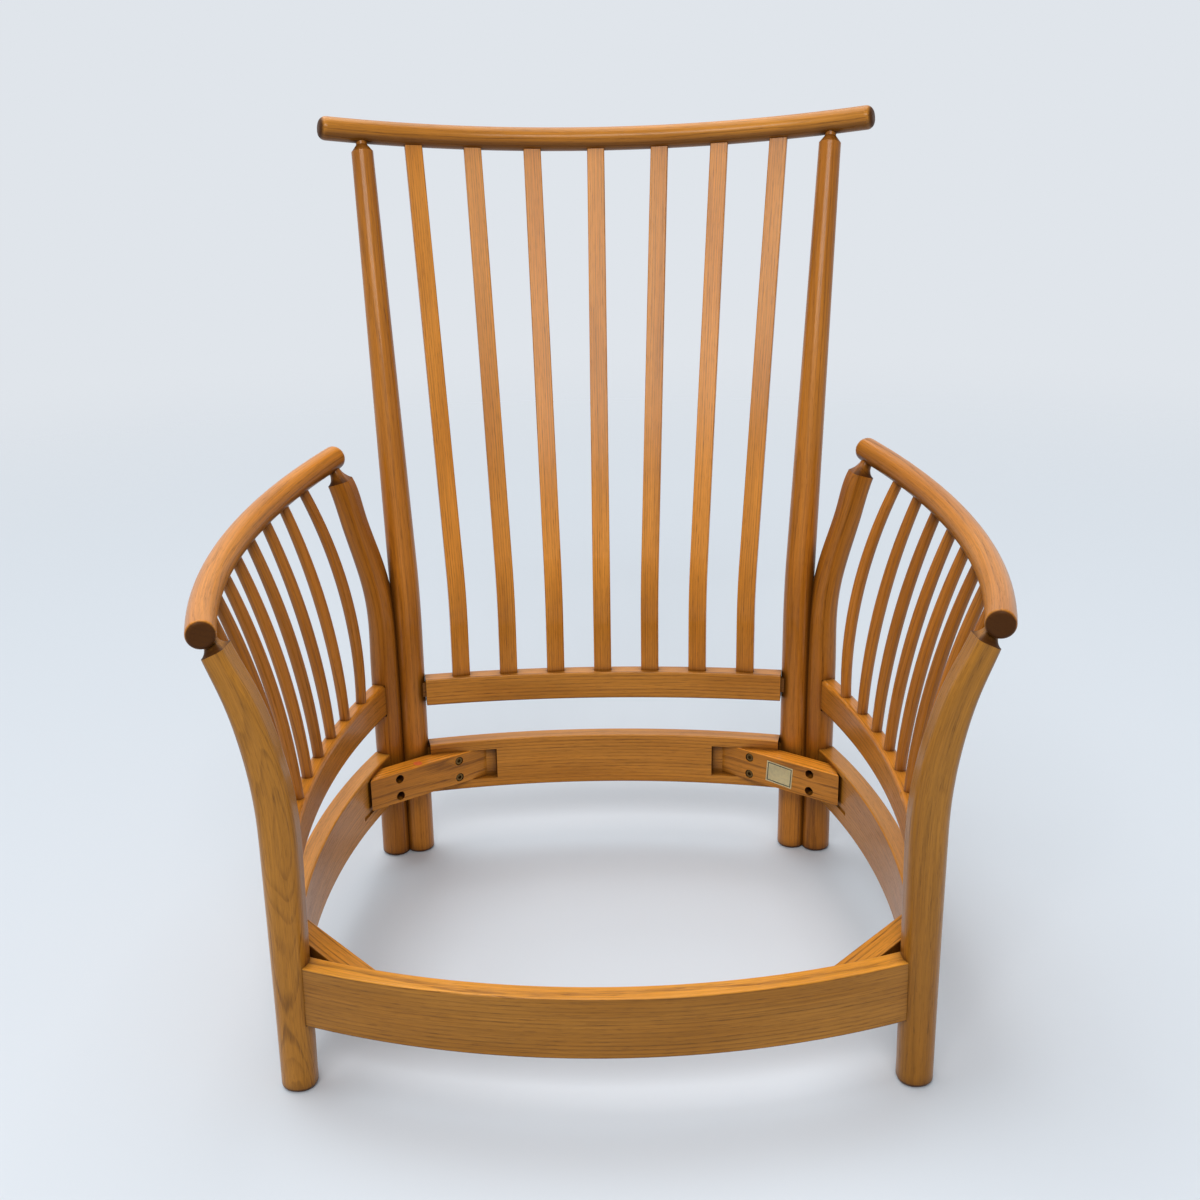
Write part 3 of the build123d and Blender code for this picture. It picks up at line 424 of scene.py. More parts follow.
def ash_figure_group():
    """Year rings, pores, fibres and end grain of ring-porous wood, at a place in it."""
    group, given, result = new_group(
        "Ash figure",
        (("Place", "vector"), ("Run", "vector"), ("Pith Out", "float"), ("Pith Side", "float"),
         ("Ring Width", "float"), ("Waver", "float"), ("Ring Depth", "float"),
         ("Pore Depth", "float"), ("Seed", "float"), ("Light Wood", "colour"),
         ("Middle Wood", "colour"), ("Dark Wood", "colour")),
        (("Color", "colour"), ("Roughness", "float"), ("Height", "float"), ("End Grain", "float")),
    )
    apart = put(group, "ShaderNodeCombineXYZ", {"X": calc(group, "MULTIPLY", given["Seed"], SEED_STEP)})
    place = vector_calc(group, "ADD", given["Place"], apart.outputs[0])
    axes = put(group, "ShaderNodeSeparateXYZ", {"Vector": place}).outputs

    # The rings: distance from the pith, which wavers along the piece
    slow_out = calc(group, "SUBTRACT", streaks(group, place, WAVER_OUT_STRETCH, 1.0), 0.5)
    slow_side = calc(group, "SUBTRACT", streaks(group, place, WAVER_SIDE_STRETCH, 1.0), 0.5)
    out = calc(group, "SUBTRACT", axes["Y"], given["Pith Out"])
    out = calc(group, "ADD", out, calc(group, "MULTIPLY", slow_out, given["Waver"]))
    side = calc(group, "SUBTRACT", axes["Z"], given["Pith Side"])
    side = calc(group, "ADD", side, calc(group, "MULTIPLY", slow_side, given["Waver"]))
    reach = calc(group, "SQRT", calc(group, "ADD", calc(group, "MULTIPLY", out, out),
                                     calc(group, "MULTIPLY", side, side)))
    ripple = calc(group, "SUBTRACT", streaks(group, place, RIPPLE_STRETCH), 0.5)
    reach = calc(group, "ADD", reach, calc(group, "MULTIPLY", ripple, RIPPLE_DEPTH))
    rings = calc(group, "DIVIDE", reach, given["Ring Width"])
    share = calc(group, "FRACT", rings)
    year = put(group, "ShaderNodeTexWhiteNoise", {"W": calc(group, "FLOOR", rings)},
               noise_dimensions="1D").outputs["Value"]
    onset = eased(group, share, 0.0, 0.1)
    decay = eased(group, share, 0.1, 0.5, 1.0, 0.0)
    broken = eased(group, streaks(group, place, BREAK_STRETCH), 0.36, 0.6, 0.35, 1.0)
    band = calc(group, "MULTIPLY", calc(group, "MULTIPLY", onset, decay), broken)
    band = calc(group, "MULTIPLY", band, eased(group, year, 0.0, 1.0, 0.4, 1.0))

    # Pores and fibres, drawn out along the grain
    pore_noise = streaks(group, place, PORE_STRETCH, 1.0)
    pores = calc(group, "MULTIPLY", eased(group, pore_noise, 0.56, 0.68),
                 calc(group, "MULTIPLY_ADD", band, 0.65, 0.35))
    fibres = calc(group, "SUBTRACT", streaks(group, place, FIBRE_STRETCH, 3.0), 0.5)
    clouds = streaks(group, place, CLOUD_STRETCH)

    colour = blended(group, eased(group, clouds, 0.3, 0.7), given["Light Wood"], given["Middle Wood"])
    ring_share = calc(group, "MULTIPLY", band, given["Ring Depth"])
    colour = blended(group, ring_share, colour, given["Dark Wood"])
    colour = blended(group, calc(group, "MULTIPLY", pores, given["Pore Depth"]), colour,
                     given["Dark Wood"])
    colour = scaled(group, colour, calc(group, "MULTIPLY_ADD", fibres, FIBRE_CONTRAST, 1.0))

    # End grain drinks the finish, so it is darker and duller
    normal = put(group, "ShaderNodeNewGeometry").outputs["Normal"]
    facing = calc(group, "ABSOLUTE", vector_calc(group, "DOT_PRODUCT", normal, given["Run"]))
    end = eased(group, facing, *END_GRAIN_FACING)
    end_share = calc(group, "MULTIPLY", end, END_GRAIN_SHARE)
    colour = blended(group, end_share, colour, END_GRAIN_COLOUR)

    rough = calc(group, "MULTIPLY_ADD", pores, 0.22, 0.3)
    rough = calc(group, "ADD", rough, calc(group, "MULTIPLY", clouds, 0.1))
    rough = calc(group, "MULTIPLY_ADD", end, 0.2, rough)
    height = calc(group, "MULTIPLY_ADD", pores, -0.8, calc(group, "MULTIPLY", fibres, 0.35))
    height = calc(group, "MULTIPLY_ADD", band, -0.3, height)
    for label, value in (("Color", colour), ("Roughness", rough), ("Height", height),
                         ("End Grain", end)):
        group.links.new(value, result[label])
    return group


def age_and_painted_light_group():
    """Grime and painted shade in the corners and between parts, edges rubbed paler, painted shade on
    undersides and painted light on tops.
    """
    group, given, result = new_group(
        "Age",
        (("Color", "colour"), ("Roughness", "float"), ("Dirt Reach", "float"),
         ("Edge Width", "float"), ("Grime And Shade", "float"), ("Rub", "float"), ("Bleach", "float"),
         ("Underside Shade", "float")),
        (("Color", "colour"), ("Roughness", "float")),
    )
    # Grime and painted shade: darker where other surfaces come near, in corners and between parts
    open_share = put(group, "ShaderNodeAmbientOcclusion", {"Distance": given["Dirt Reach"]}, samples=8)
    grime_and_shade = eased(group, open_share.outputs["AO"], 0.35, 1.0, 1.0, 0.0)
    grime_and_shade = calc(group, "MULTIPLY", grime_and_shade, given["Grime And Shade"])
    rounded = put(group, "ShaderNodeBevel", {"Radius": given["Edge Width"]}, samples=6)
    normal = put(group, "ShaderNodeNewGeometry").outputs["Normal"]
    alike = vector_calc(group, "DOT_PRODUCT", rounded.outputs["Normal"], normal)
    point = put(group, "ShaderNodeTexCoord").outputs["Object"]
    patches = put(group, "ShaderNodeTexNoise", {"Vector": point, "Scale": 38.0, "Detail": 3.0})
    rub = calc(group, "MULTIPLY", eased(group, alike, 0.8, 0.99, 1.0, 0.0),
               eased(group, patches.outputs["Fac"], 0.35, 0.62))
    rub = calc(group, "MULTIPLY", rub, given["Rub"])
    upward = put(group, "ShaderNodeSeparateXYZ", {"Vector": normal}).outputs["Z"]
    # Painted light: the more a surface faces up, the paler it is painted
    bleach = calc(group, "MULTIPLY", eased(group, upward, 0.0, 0.9), given["Bleach"])
    # Painted shade: the more a surface faces down, the darker it is painted
    underside_shade = calc(group, "MULTIPLY", eased(group, upward, 0.1, -0.5), given["Underside Shade"])
    colour = scaled(group, given["Color"], calc(group, "MULTIPLY_ADD", rub, 0.3, 1.0))
    colour = scaled(group, colour, calc(group, "ADD", bleach, 1.0))
    colour = blended(group, underside_shade, colour, SHADE_COLOUR)
    colour = blended(group, grime_and_shade, colour, GRIME_AND_SHADE_COLOUR)
    rough = calc(group, "MULTIPLY_ADD", grime_and_shade, 0.25, given["Roughness"])
    group.links.new(colour, result["Color"])
    group.links.new(rough, result["Roughness"])
    return group


def scratch_group():
    """Fine scratches and dull patches on metal and paper."""
    group, given, result = new_group(
        "Scratches", (("Scale", "float"), ("Depth", "float")),
        (("Roughness", "float"), ("Height", "float")),
    )
    point = put(group, "ShaderNodeTexCoord").outputs["Object"]
    fine = put(group, "ShaderNodeTexNoise", {"Vector": point, "Scale": given["Scale"], "Detail": 4.0})
    height = calc(group, "MULTIPLY", fine.outputs["Fac"], given["Depth"])
    group.links.new(calc(group, "MULTIPLY_ADD", fine.outputs["Fac"], 0.3, 0.2), result["Roughness"])
    group.links.new(height, result["Height"])
    return group


GROUP_MAKERS = {
    "Bowed run": bowed_run_group,
    "Post run": post_run_group,
    "Ash figure": ash_figure_group,
    "Age": age_and_painted_light_group,
    "Scratches": scratch_group,
}


def place_group(tree, name, inputs):
    """A group's node in a material. The group is built where it is first needed."""
    group = bpy.data.node_groups.get(name) or GROUP_MAKERS[name]()
    return put(tree, "ShaderNodeGroup", inputs, node_tree=group).outputs


def new_material(name):
    """An empty material with its shader: the material, its tree and the shader node."""
    material = bpy.data.materials.new(name)
    material.use_nodes = True
    tree = material.node_tree
    return material, tree, tree.nodes["Principled BSDF"]


def run_sockets(tree, run, way):
    """The place and run of the grain for a bow or a post, on the right or left side."""
    if isinstance(run, Bow):
        arc = arc_of(run, way)
        return place_group(tree, "Bowed run", {
            "Centre": arc.centre, "Outward": arc.outward, "Along": arc.along,
            "Radius": arc.radius,
        })
    heading = flipped((cos(run.heading), sin(run.heading), 0), way)
    return place_group(tree, "Post run", {
        "Foot": flipped(run.foot, way), "Heading": heading, "Bend Start": run.bend_start,
        "Bend Radius": run.radius, "Bend Limit": run.limit,
    })


def dress(node, material):
    """Put a material in the slots of a CAD node."""
    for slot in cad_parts[node].material_slots:
        slot.material = material


def wood(node, run, way, cut, seed):
    """Give a CAD node lacquered wood whose grain follows its own run."""
    settings = bpy.context.scene.chair_wood
    material, tree, shader = new_material(f"{node}_wood")
    grain = run_sockets(tree, run, way)
    tint = [cut.tone * (1 - share * cut.warmth) for share in WARMTH_TINT]
    tones = [tuple(value * share for value, share in zip(colour, tint)) + (1.0,) for colour in
             (settings.light_wood, settings.middle_wood, settings.dark_wood)]
    figure = place_group(tree, "Ash figure", {
        "Place": grain["Place"], "Run": grain["Run"], "Pith Out": cut.pith_out,
        "Pith Side": cut.pith_side, "Ring Width": cut.ring_width, "Waver": cut.waver,
        "Ring Depth": cut.ring_depth, "Pore Depth": cut.pore_depth, "Seed": seed,
        "Light Wood": tones[0], "Middle Wood": tones[1], "Dark Wood": tones[2],
    })
    # Grime and painted shade in corners, painted shade on undersides, painted light on tops
    age_and_light = place_group(tree, "Age", {
        "Color": figure["Color"], "Roughness": figure["Roughness"],
        "Dirt Reach": settings.grime_and_shade_reach, "Edge Width": settings.edge_width,
        "Grime And Shade": GRIME_AND_SHADE_SHARE, "Rub": RUB_SHARE, "Bleach": cut.bleach, "Underside Shade": UNDERSIDE_SHADE_SHARE,
    })
    bump = put(tree, "ShaderNodeBump", {"Height": figure["Height"], **WOOD_BUMP})
    coat = calc(tree, "MULTIPLY_ADD", figure["End Grain"], END_COAT_CHANGE, LACQUER_COAT)
    tree.links.new(coat, shader.inputs["Coat Weight"])
    tree.links.new(age_and_light["Color"], shader.inputs["Base Color"])
    tree.links.new(age_and_light["Roughness"], shader.inputs["Roughness"])
    tree.links.new(bump.outputs["Normal"], shader.inputs["Normal"])
    shader.inputs["Specular IOR Level"].default_value = SHEEN_LEVEL
    shader.inputs["Specular Tint"].default_value = SHEEN_TINT
    shader.inputs["Coat Roughness"].default_value = LACQUER_ROUGHNESS
    shader.inputs["IOR"].default_value = LACQUER_IOR
    dress(node, material)


# Where each kind's figure starts in the noise, and how much further on for each side and
# number, so that no two pieces are alike
Seed = namedtuple("Seed", "first by_side by_number", defaults=(0.0, 0.0))
SEEDS = {
    "crest": Seed(0.3),
    "stile": Seed(1.1, 0.2),
    "slat": Seed(2.0, 0.0, 0.37),
    "lower_rail": Seed(5.2),
    "rear_rail": Seed(5.9),
    "front_rail": Seed(6.4),
    "side_rail": Seed(7.1, 0.2),
    "spindle_rail": Seed(8.1, 0.2),
    "front_leg": Seed(9.3, 0.25),
    "arm_leg": Seed(10.2, 0.25),
    "arm": Seed(11.4, 0.2),
    "spindle": Seed(13.0, 0.17, 0.41),
    "rear_block": Seed(17.2, 0.3),
    "front_block": Seed(18.6, 0.3),
}


def seed_of(kind, way=0, number=0):
    """The seed of one piece of a kind, by its side and number."""
    seed = SEEDS[kind]
    return seed.first + seed.by_side * way + seed.by_number * number


# Cuts of the boards, by piece, and how they change from one slat or spindle to the next
CREST_CUT = Cut(0.05, 0.035, 0.0042, 0.006, 0.55, 0.7, 0.97, 0.2)
STILE_CUT = Cut(0.06, -0.05, 0.0044, 0.008, 0.55, 0.8, 0.86, 0.5)
SLAT_CUT = Cut(0.01, 0.11, 0.0032, 0.005, 0.6, 0.75, 1.06, 0.4)
FRONT_RAIL_CUT = Cut(0.02, 0.13, 0.005, 0.006, 0.7, 0.85, 0.72, 0.0, 1.0)
REAR_RAIL_CUT = Cut(0.03, 0.12, 0.0048, 0.005, 0.75, 0.85, 0.95, 0.2, 0.2)
# The right side rail is painted darker and the left one paler: painted shade and light that even out
# the key light falling on their inner faces
SIDE_RAIL_CUTS = {
    "left": Cut(0.02, -0.14, 0.0045, 0.008, 0.5, 0.8, 1.04, 0.15),
    "right": Cut(0.02, -0.14, 0.0045, 0.008, 0.5, 0.8, 0.86, 0.15),
}
SPINDLE_RAIL_CUT = Cut(0.04, 0.06, 0.0045, 0.008, 0.5, 0.8, 0.95, 0.4)
FRONT_LEG_CUTS = {
    "left": Cut(0.002, -0.031, 0.0024, 0.034, 0.65, 0.9, 0.78, 0.0),
    "right": Cut(-0.03, 0.09, 0.005, 0.012, 0.4, 0.9, 0.68, 0.0),
}
ARM_LEG_CUT = Cut(0.03, 0.05, 0.0045, 0.008, 0.5, 0.8, 0.7, 0.6)
ARM_CUTS = {
    "left": Cut(-0.03, -0.06, 0.006, 0.014, 0.45, 0.6, 1.0, 0.4),
    "right": Cut(-0.03, -0.06, 0.006, 0.014, 0.45, 0.6, 0.86, 0.4),
}
SLAT_PITH_STEP = 0.013
SLAT_TONE_CHANGE = 0.05
SLAT_TONE_TURN = 2.4
SPINDLE_PITH_REACH = 0.03
SPINDLE_PITH_TURN = 2.1
SPINDLE_TONE_CHANGE = 0.08
SPINDLE_TONE_TURN = 1.9
SPINDLE_CUT = Cut(0.02, 0.03, 0.004, 0.006, 0.5, 0.7, 0.8, 0.6)
BLOCK_CUTS = {
    "rear": Cut(0.015, 0.03, 0.0062, 0.016, 0.9, 0.9, 0.98, 0.3, 0.9),
    "front": Cut(0.015, 0.03, 0.0062, 0.016, 0.9, 0.9, 0.95, 0.2, 0.2),
}


class CHAIR_OT_crest(bpy.types.Operator):
    """Dress the crest rail"""
    bl_idname = "chair.crest"
    bl_label = "Crest rail"

    def execute(self, context):
        wood("crest_rail", CREST_BOW, 1, CREST_CUT, seed_of("crest"))
        return {"FINISHED"}


class CHAIR_OT_stiles(bpy.types.Operator):
    """Dress both back stiles"""
    bl_idname = "chair.stiles"
    bl_label = "Back stiles"

    def execute(self, context):
        for side, way in SIDES.items():
            wood(f"back_stile_{side}", STILE_POST, way, STILE_CUT, seed_of("stile", way))
        return {"FINISHED"}


class CHAIR_OT_slats(bpy.types.Operator):
    """Dress the back slats, numbered from the left"""
    bl_idname = "chair.slats"
    bl_label = "Back slats"

    def execute(self, context):
        for number in range(1, 2 * MIDDLE_SLAT):
            way, run = slat_run(number - MIDDLE_SLAT)
            tone = SLAT_CUT.tone * (1 + SLAT_TONE_CHANGE * sin(number * SLAT_TONE_TURN))
            pith_side = SLAT_CUT.pith_side + SLAT_PITH_STEP * number
            cut = SLAT_CUT._replace(tone=tone, pith_side=pith_side)
            wood(f"back_slat_{number}", run, way, cut, seed_of("slat", number=number))
        return {"FINISHED"}


class CHAIR_OT_back_rails(bpy.types.Operator):
    """Dress the lower back rail and the rear seat rail"""
    bl_idname = "chair.back_rails"
    bl_label = "Back rails"

    def execute(self, context):
        wood("lower_back_rail", LOWER_RAIL_BOW, 1, REAR_RAIL_CUT, seed_of("lower_rail"))
        wood("rear_seat_rail", REAR_RAIL_BOW, 1, REAR_RAIL_CUT, seed_of("rear_rail"))
        return {"FINISHED"}


class CHAIR_OT_seat_rails(bpy.types.Operator):
    """Dress the front and side seat rails"""
    bl_idname = "chair.seat_rails"
    bl_label = "Seat rails"

    def execute(self, context):
        wood("front_seat_rail", FRONT_RAIL_BOW, 1, FRONT_RAIL_CUT, seed_of("front_rail"))
        for side, way in SIDES.items():
            wood(f"side_seat_rail_{side}", SIDE_RAIL_BOW, way, SIDE_RAIL_CUTS[side],
                 seed_of("side_rail", way))
        return {"FINISHED"}


class CHAIR_OT_spindle_rails(bpy.types.Operator):
    """Dress the rails under the arm spindles"""
    bl_idname = "chair.spindle_rails"
    bl_label = "Spindle rails"

    def execute(self, context):
        for side, way in SIDES.items():
            wood(f"spindle_rail_{side}", SPINDLE_RAIL_BOW, way, SPINDLE_RAIL_CUT,
                 seed_of("spindle_rail", way))
        return {"FINISHED"}


class CHAIR_OT_legs(bpy.types.Operator):
    """Dress the front legs and the rear arm legs"""
    bl_idname = "chair.legs"
    bl_label = "Legs"

    def execute(self, context):
        for side, way in SIDES.items():
            wood(f"front_leg_{side}", FRONT_LEG_POST, way, FRONT_LEG_CUTS[side],
                 seed_of("front_leg", way))
            wood(f"rear_arm_leg_{side}", ARM_LEG_POST, way, ARM_LEG_CUT, seed_of("arm_leg", way))
        return {"FINISHED"}


class CHAIR_OT_arms(bpy.types.Operator):
    """Dress both arms"""
    bl_idname = "chair.arms"
    bl_label = "Arms"

    def execute(self, context):
        for side, way in SIDES.items():
            wood(f"arm_{side}", ARM_BOW, way, ARM_CUTS[side], seed_of("arm", way))
        return {"FINISHED"}


class CHAIR_OT_spindles(bpy.types.Operator):
    """Dress the arm spindles, numbered from the rear"""
    bl_idname = "chair.spindles"
    bl_label = "Arm spindles"

    def execute(self, context):
        for side, way in SIDES.items():
            for number in range(SPINDLE_COUNT):
                turn = number * SPINDLE_PITH_TURN + way
                change = SPINDLE_TONE_CHANGE * sin(number * SPINDLE_TONE_TURN + way)
                cut = SPINDLE_CUT._replace(
                    pith_out=SPINDLE_PITH_REACH * cos(turn),
                    pith_side=SPINDLE_PITH_REACH * sin(turn),
                    tone=SPINDLE_CUT.tone * (1 + change),
                )
                wood(f"arm_spindle_{side}_{number + 1}", spindle_run(number), way, cut,
                     seed_of("spindle", way, number))
        return {"FINISHED"}


class CHAIR_OT_blocks(bpy.types.Operator):
    """Dress the corner blocks"""
    bl_idname = "chair.blocks"
    bl_label = "Corner blocks"

    def execute(self, context):
        for side, way in SIDES.items():
            wood(f"rear_corner_block_{side}", REAR_BLOCK_BOW, way, BLOCK_CUTS["rear"],
                 seed_of("rear_block", way))
            wood(f"front_corner_block_{side}", FRONT_BLOCK_BOW, way, BLOCK_CUTS["front"],
                 seed_of("front_block", way))
        return {"FINISHED"}


class CHAIR_OT_bolts(bpy.types.Operator):
    """Dress the bolts of the corner blocks"""
    bl_idname = "chair.bolts"
    bl_label = "Bolts"

    def execute(self, context):
        material, tree, shader = new_material("bolt_steel")
        scratches = place_group(tree, "Scratches", STEEL_SCRATCHES)
        bump = put(tree, "ShaderNodeBump", {"Height": scratches["Height"], **STEEL_BUMP})
        tree.links.new(scratches["Roughness"], shader.inputs["Roughness"])
        tree.links.new(bump.outputs["Normal"], shader.inputs["Normal"])
        shader.inputs["Base Color"].default_value = (*context.scene.chair_trim.bolt_steel, 1)
        shader.inputs["Metallic"].default_value = 1.0
        for end in ("rear", "front"):
            for side in SIDES:
                dress(f"{end}_block_bolts_{side}", material)
        return {"FINISHED"}


def new_mesh_piece(name, shape, materials):
    """An object from a finished bmesh, with its materials."""
    mesh = bpy.data.meshes.new(name)
    shape.to_mesh(mesh)
    shape.free()
    piece = bpy.data.objects.new(name, mesh)
    bpy.context.scene.collection.objects.link(piece)
    for material in materials:
        mesh.materials.append(material)
    return piece


# The label on the face of the right rear block, and the sticker on top of the left one, by
# their places along a block from its outer end, and out from its middle
BLOCK_FACE = 0.014
BLOCK_TOP = 0.1515
PAPER_GAP = 0.0001
LABEL_PLACE = 0.0838
LABEL_HEIGHT = 0.1285
LABEL_TURN = radians(-4)
LABEL_THICKNESS = 0.0002
LABEL_MARGIN = 0.0018
LABEL_LINE = 0.0012
STICKER_PLACE = 0.0716
STICKER_OUT = 0.004
STICKER_THICKNESS = 0.0003
STICKER_SIDES = 48
STICKER_PROFILE = ((1.0, 0.0), (1.0, 0.6), (0.97, 1.0))


def block_point(along, out, height):
    """A point on the right rear block, with the directions along it and out of its face."""
    start, finish = Vector(REAR_BLOCK_BOW.start), Vector(REAR_BLOCK_BOW.finish)
    run = (finish - start).normalized()
    outward = Vector((-run.y, run.x, 0))
    point = start + run * along + outward * out
    point.z = height
    return point, run, outward


def paper_material(name, colour, roughness):
    """Printed paper with its fibres and a little soiling."""
    material, tree, shader = new_material(name)
    point = put(tree, "ShaderNodeTexCoord").outputs["Object"]
    soil = put(tree, "ShaderNodeTexNoise", {"Vector": point, **PAPER_SOIL})
    shade = eased(tree, soil.outputs["Fac"], *PAPER_SOIL_RANGE, 1.0, PAPER_SOIL_SHADE)
    scratches = place_group(tree, "Scratches", PAPER_SCRATCHES)
    bump = put(tree, "ShaderNodeBump", {"Height": scratches["Height"], **PAPER_BUMP})
    tree.links.new(scaled(tree, (*colour,), shade), shader.inputs["Base Color"])
    tree.links.new(bump.outputs["Normal"], shader.inputs["Normal"])
    shader.inputs["Roughness"].default_value = roughness
    return material


class CHAIR_OT_label(bpy.types.Operator):
    """Put the plain paper label on the right rear block"""
    bl_idname = "chair.label"
    bl_label = "Paper label"

    def execute(self, context):
        trim = context.scene.chair_trim
        width, height = trim.label_size
        steps = [0, LABEL_MARGIN, LABEL_MARGIN + LABEL_LINE]
        xs = steps + [width - step for step in reversed(steps)]
        ys = steps + [height - step for step in reversed(steps)]
        shape = bmesh.new()
        grid = [[shape.verts.new((x - width / 2, y - height / 2, 0)) for y in ys] for x in xs]
        last = len(xs) - 2
        for i in range(last + 1):
            for j in range(last + 1):
                face = shape.faces.new(
                    (grid[i][j], grid[i + 1][j], grid[i + 1][j + 1], grid[i][j + 1])
                )
                ring = min(i, j, last - i, last - j)
                face.material_index = 1 if ring == 1 else 0
        bmesh.ops.solidify(shape, geom=shape.faces[:], thickness=-LABEL_THICKNESS)
        bmesh.ops.recalc_face_normals(shape, faces=shape.faces[:])
        label = new_mesh_piece("paper_label", shape, [
            paper_material("label_paper", trim.label_paper, PAPER_ROUGHNESS),
            paper_material("label_ink", trim.label_ink, INK_ROUGHNESS),
        ])
        centre, run, out = block_point(LABEL_PLACE, BLOCK_FACE + PAPER_GAP, LABEL_HEIGHT)
        turn = Matrix((run * -1, (0, 0, 1), out)).transposed().to_4x4()
        tilt = Matrix.Rotation(LABEL_TURN, 4, "Z")
        label.data.transform(Matrix.Translation(centre) @ turn @ tilt)
        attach(label, "root")
        return {"FINISHED"}


class CHAIR_OT_sticker(bpy.types.Operator):
    """Put the round sticker on top of the left rear block"""
    bl_idname = "chair.sticker"
    bl_label = "Round sticker"

    def execute(self, context):
        trim = context.scene.chair_trim
        radius = trim.sticker_diameter / 2
        shape = bmesh.new()
        turns = [2 * pi * number / STICKER_SIDES for number in range(STICKER_SIDES)]
        loops = []
        for reach, level in STICKER_PROFILE:
            loops.append([
                shape.verts.new((
                    reach * radius * cos(turn), reach * radius * sin(turn),
                    level * STICKER_THICKNESS,
                )) for turn in turns
            ])
        for lower, upper in zip(loops, loops[1:]):
            for n in range(STICKER_SIDES):
                m = (n + 1) % STICKER_SIDES
                shape.faces.new((lower[n], lower[m], upper[m], upper[n]))
        shape.faces.new(loops[-1])
        shape.faces.new(list(reversed(loops[0])))
        sticker = new_mesh_piece("round_sticker", shape, [
            paper_material("sticker_paper", trim.sticker_colour, STICKER_ROUGHNESS)
        ])
        centre = block_point(STICKER_PLACE, STICKER_OUT, BLOCK_TOP + PAPER_GAP)[0]
        sticker.data.transform(Matrix.Translation(flipped(centre, -1)))
        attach(sticker, "root")
        return {"FINISHED"}


# The camera, as fitted to the photograph. Its focus, the picture's side and the point on
# the picture that it looks straight at are in pixels.
CAMERA_PLACE = (0.0118, -1.7987, 1.0343)
CAMERA_PITCH = radians(19.353)
CAMERA_YAW = radians(-1.179)
CAMERA_ROLL = radians(-1.174)
CAMERA_FOCUS = 1540.35
PICTURE = 1200
PICTURE_CENTRE = (580.75, 622.4)
SENSOR = 36.0
CLIP_END = 100

# The floor, which fades out between two distances from the chair
FLOOR_REACH = 9.0
FLOOR_SIDES = 96
FLOOR_FADE = (1.6, 4.5)

# The key lamp shines from above and behind, the softbox from high in front
KEY_FROM = (-0.9, 1.3, 4.0)
KEY_AT = (0, 0, 0)
KEY_SPREAD = radians(65)
KEY_COLOUR = (0.955, 0.985, 1.0)
SOFTBOX_FROM = (-0.8, -6.4, 6.0)
SOFTBOX_AT = (0, 0.3, 0.7)
SOFTBOX_POWER = 300.0
SOFTBOX_WIDTH = 5.6
SOFTBOX_HEIGHT = 2.3


def add_camera():
    """The camera, set by its pitch, yaw and roll."""
    forward = Vector((
        sin(CAMERA_YAW) * cos(CAMERA_PITCH), cos(CAMERA_YAW) * cos(CAMERA_PITCH), -sin(CAMERA_PITCH)
    ))
    level = forward.cross(Vector((0, 0, 1))).normalized()
    upward = level.cross(forward)
    right = level * cos(CAMERA_ROLL) + upward * sin(CAMERA_ROLL)
    up = upward * cos(CAMERA_ROLL) - level * sin(CAMERA_ROLL)
    data = bpy.data.cameras.new("picture_camera")
    data.sensor_width = SENSOR
    data.lens = CAMERA_FOCUS / PICTURE * SENSOR
    data.shift_x = (PICTURE / 2 - PICTURE_CENTRE[0]) / PICTURE
    data.shift_y = (PICTURE_CENTRE[1] - PICTURE / 2) / PICTURE
    data.clip_end = CLIP_END
    camera = bpy.data.objects.new("picture_camera", data)
    camera.matrix_world = (
        Matrix.Translation(CAMERA_PLACE) @ Matrix((right, up, -forward)).transposed().to_4x4()
    )
    bpy.context.scene.collection.objects.link(camera)
    bpy.context.scene.camera = camera


def add_lamp(name, kind, place, target, **settings):
    """A lamp that points from a place to a target."""
    data = bpy.data.lights.new(name, kind)
    for key, value in settings.items():
        setattr(data, key, value)
    lamp = bpy.data.objects.new(name, data)
    aim = Vector(target) - Vector(place)
    lamp.matrix_world = Matrix.Translation(place) @ aim.to_track_quat("-Z", "Y").to_matrix().to_4x4()
    bpy.context.scene.collection.objects.link(lamp)


def floor_material(colour):
    """A pale floor that keeps shadows and fades into the background far out."""
    material, tree, shader = new_material("floor")
    shader.inputs["Base Color"].default_value = (*colour, 1)
    shader.inputs["Roughness"].default_value = 1.0
    shader.inputs["Specular IOR Level"].default_value = 0.0
    point = put(tree, "ShaderNodeTexCoord").outputs["Object"]
    far = put(tree, "ShaderNodeVectorMath", {"Vector": point}, operation="LENGTH").outputs["Value"]
    clear = put(tree, "ShaderNodeBsdfTransparent")
    fade = put(tree, "ShaderNodeMixShader", {0: eased(tree, far, *FLOOR_FADE)})
    tree.links.new(shader.outputs["BSDF"], fade.inputs[1])
    tree.links.new(clear.outputs["BSDF"], fade.inputs[2])
    output = tree.nodes["Material Output"]
    tree.links.new(fade.outputs["Shader"], output.inputs["Surface"])
    return material


def set_world(colour, strength):
    """Even light from all round, with the background's own colour for the camera."""
    world = bpy.context.scene.world or bpy.data.worlds.new("studio")
    bpy.context.scene.world = world
    world.use_nodes = True
    tree = world.node_tree
    tree.nodes.clear()
    light = put(tree, "ShaderNodeBackground", {"Color": (*colour, 1), "Strength": strength})
    seen = put(tree, "ShaderNodeBackground", {"Color": (*colour, 1), "Strength": 1.0})
    path = put(tree, "ShaderNodeLightPath").outputs
    mirrored = calc(tree, "MAXIMUM", path["Is Glossy Ray"], path["Is Transmission Ray"])
    shown = calc(tree, "MAXIMUM", path["Is Camera Ray"], mirrored)
    mixed = put(tree, "ShaderNodeMixShader", {
        0: shown, 1: light.outputs["Background"], 2: seen.outputs["Background"],
    })
    output = put(tree, "ShaderNodeOutputWorld")
    tree.links.new(mixed.outputs["Shader"], output.inputs["Surface"])


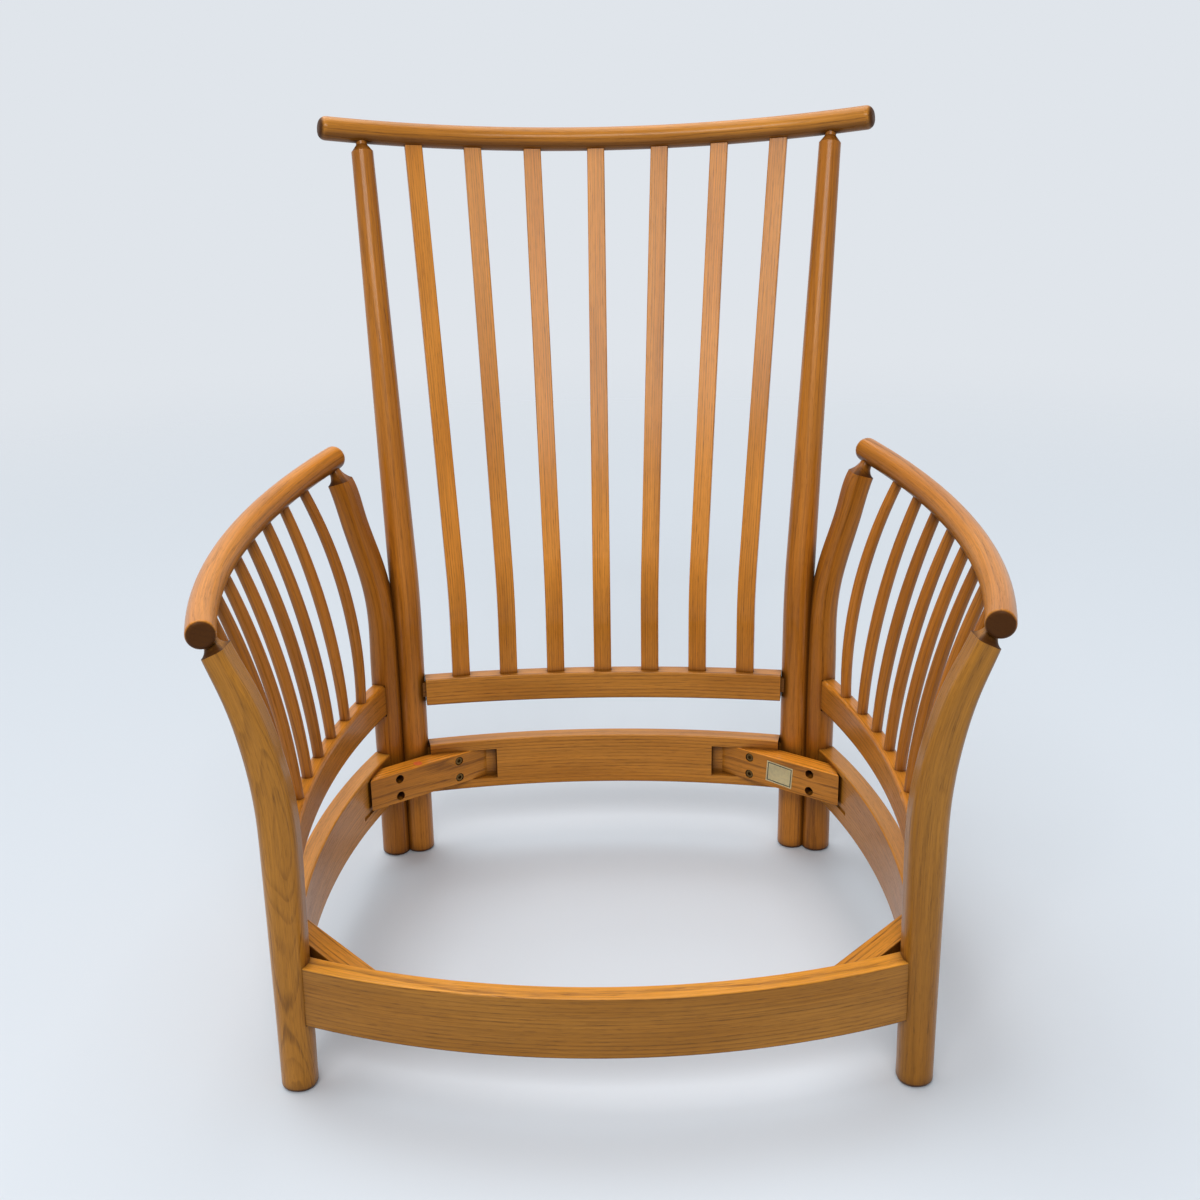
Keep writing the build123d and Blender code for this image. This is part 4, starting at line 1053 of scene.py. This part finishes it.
class CHAIR_OT_stage(bpy.types.Operator):
    """Set the floor, the soft light, the background and the camera"""
    bl_idname = "chair.stage"
    bl_label = "Stage"

    def execute(self, context):
        stage = context.scene.chair_stage
        shape = bmesh.new()
        bmesh.ops.create_circle(shape, cap_ends=True, segments=FLOOR_SIDES, radius=FLOOR_REACH)
        floor = new_mesh_piece("floor", shape, [floor_material(stage.backdrop)])
        set_world(stage.backdrop, stage.sky_strength)
        add_lamp("key", "SUN", KEY_FROM, KEY_AT, energy=stage.key_strength,
                 color=KEY_COLOUR, angle=KEY_SPREAD)
        add_lamp("softbox", "AREA", SOFTBOX_FROM, SOFTBOX_AT, energy=SOFTBOX_POWER,
                 shape="RECTANGLE", size=SOFTBOX_WIDTH, size_y=SOFTBOX_HEIGHT)
        add_camera()
        context.scene.view_settings.view_transform = "Standard"
        return {"FINISHED"}


PIECES = (
    CHAIR_OT_crest, CHAIR_OT_stiles, CHAIR_OT_slats, CHAIR_OT_back_rails, CHAIR_OT_seat_rails,
    CHAIR_OT_spindle_rails, CHAIR_OT_legs, CHAIR_OT_arms, CHAIR_OT_spindles, CHAIR_OT_blocks,
    CHAIR_OT_bolts, CHAIR_OT_label, CHAIR_OT_sticker, CHAIR_OT_stage,
)


class CHAIR_PT_pieces(bpy.types.Panel):
    """The chair's sizes, colours and pieces"""
    bl_idname = "CHAIR_PT_pieces"
    bl_label = "Easy Chair Frame"
    bl_space_type = "VIEW_3D"
    bl_region_type = "UI"
    bl_category = "Easy Chair"

    def draw(self, context):
        for group in SETTINGS:
            settings = getattr(context.scene, group)
            for name in settings.__annotations__:
                self.layout.prop(settings, name)
        for piece in PIECES:
            self.layout.operator(piece.bl_idname)


SETTINGS = {"chair_wood": ChairWood, "chair_trim": ChairTrim, "chair_stage": ChairStage}


def register():
    """Register the settings, the operators and the panel."""
    for kind in (*SETTINGS.values(), *PIECES, CHAIR_PT_pieces):
        bpy.utils.register_class(kind)
    for name, kind in SETTINGS.items():
        setattr(bpy.types.Scene, name, bpy.props.PointerProperty(type=kind))


def unregister():
    """Remove what register added."""
    for name in SETTINGS:
        delattr(bpy.types.Scene, name)
    for kind in reversed((*SETTINGS.values(), *PIECES, CHAIR_PT_pieces)):
        bpy.utils.unregister_class(kind)


def main():
    """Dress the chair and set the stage."""
    register()
    for piece in PIECES:
        section, name = piece.bl_idname.split(".")
        getattr(getattr(bpy.ops, section), name)()
    bpy.context.view_layer.update()


if __name__ == "__main__":
    main()
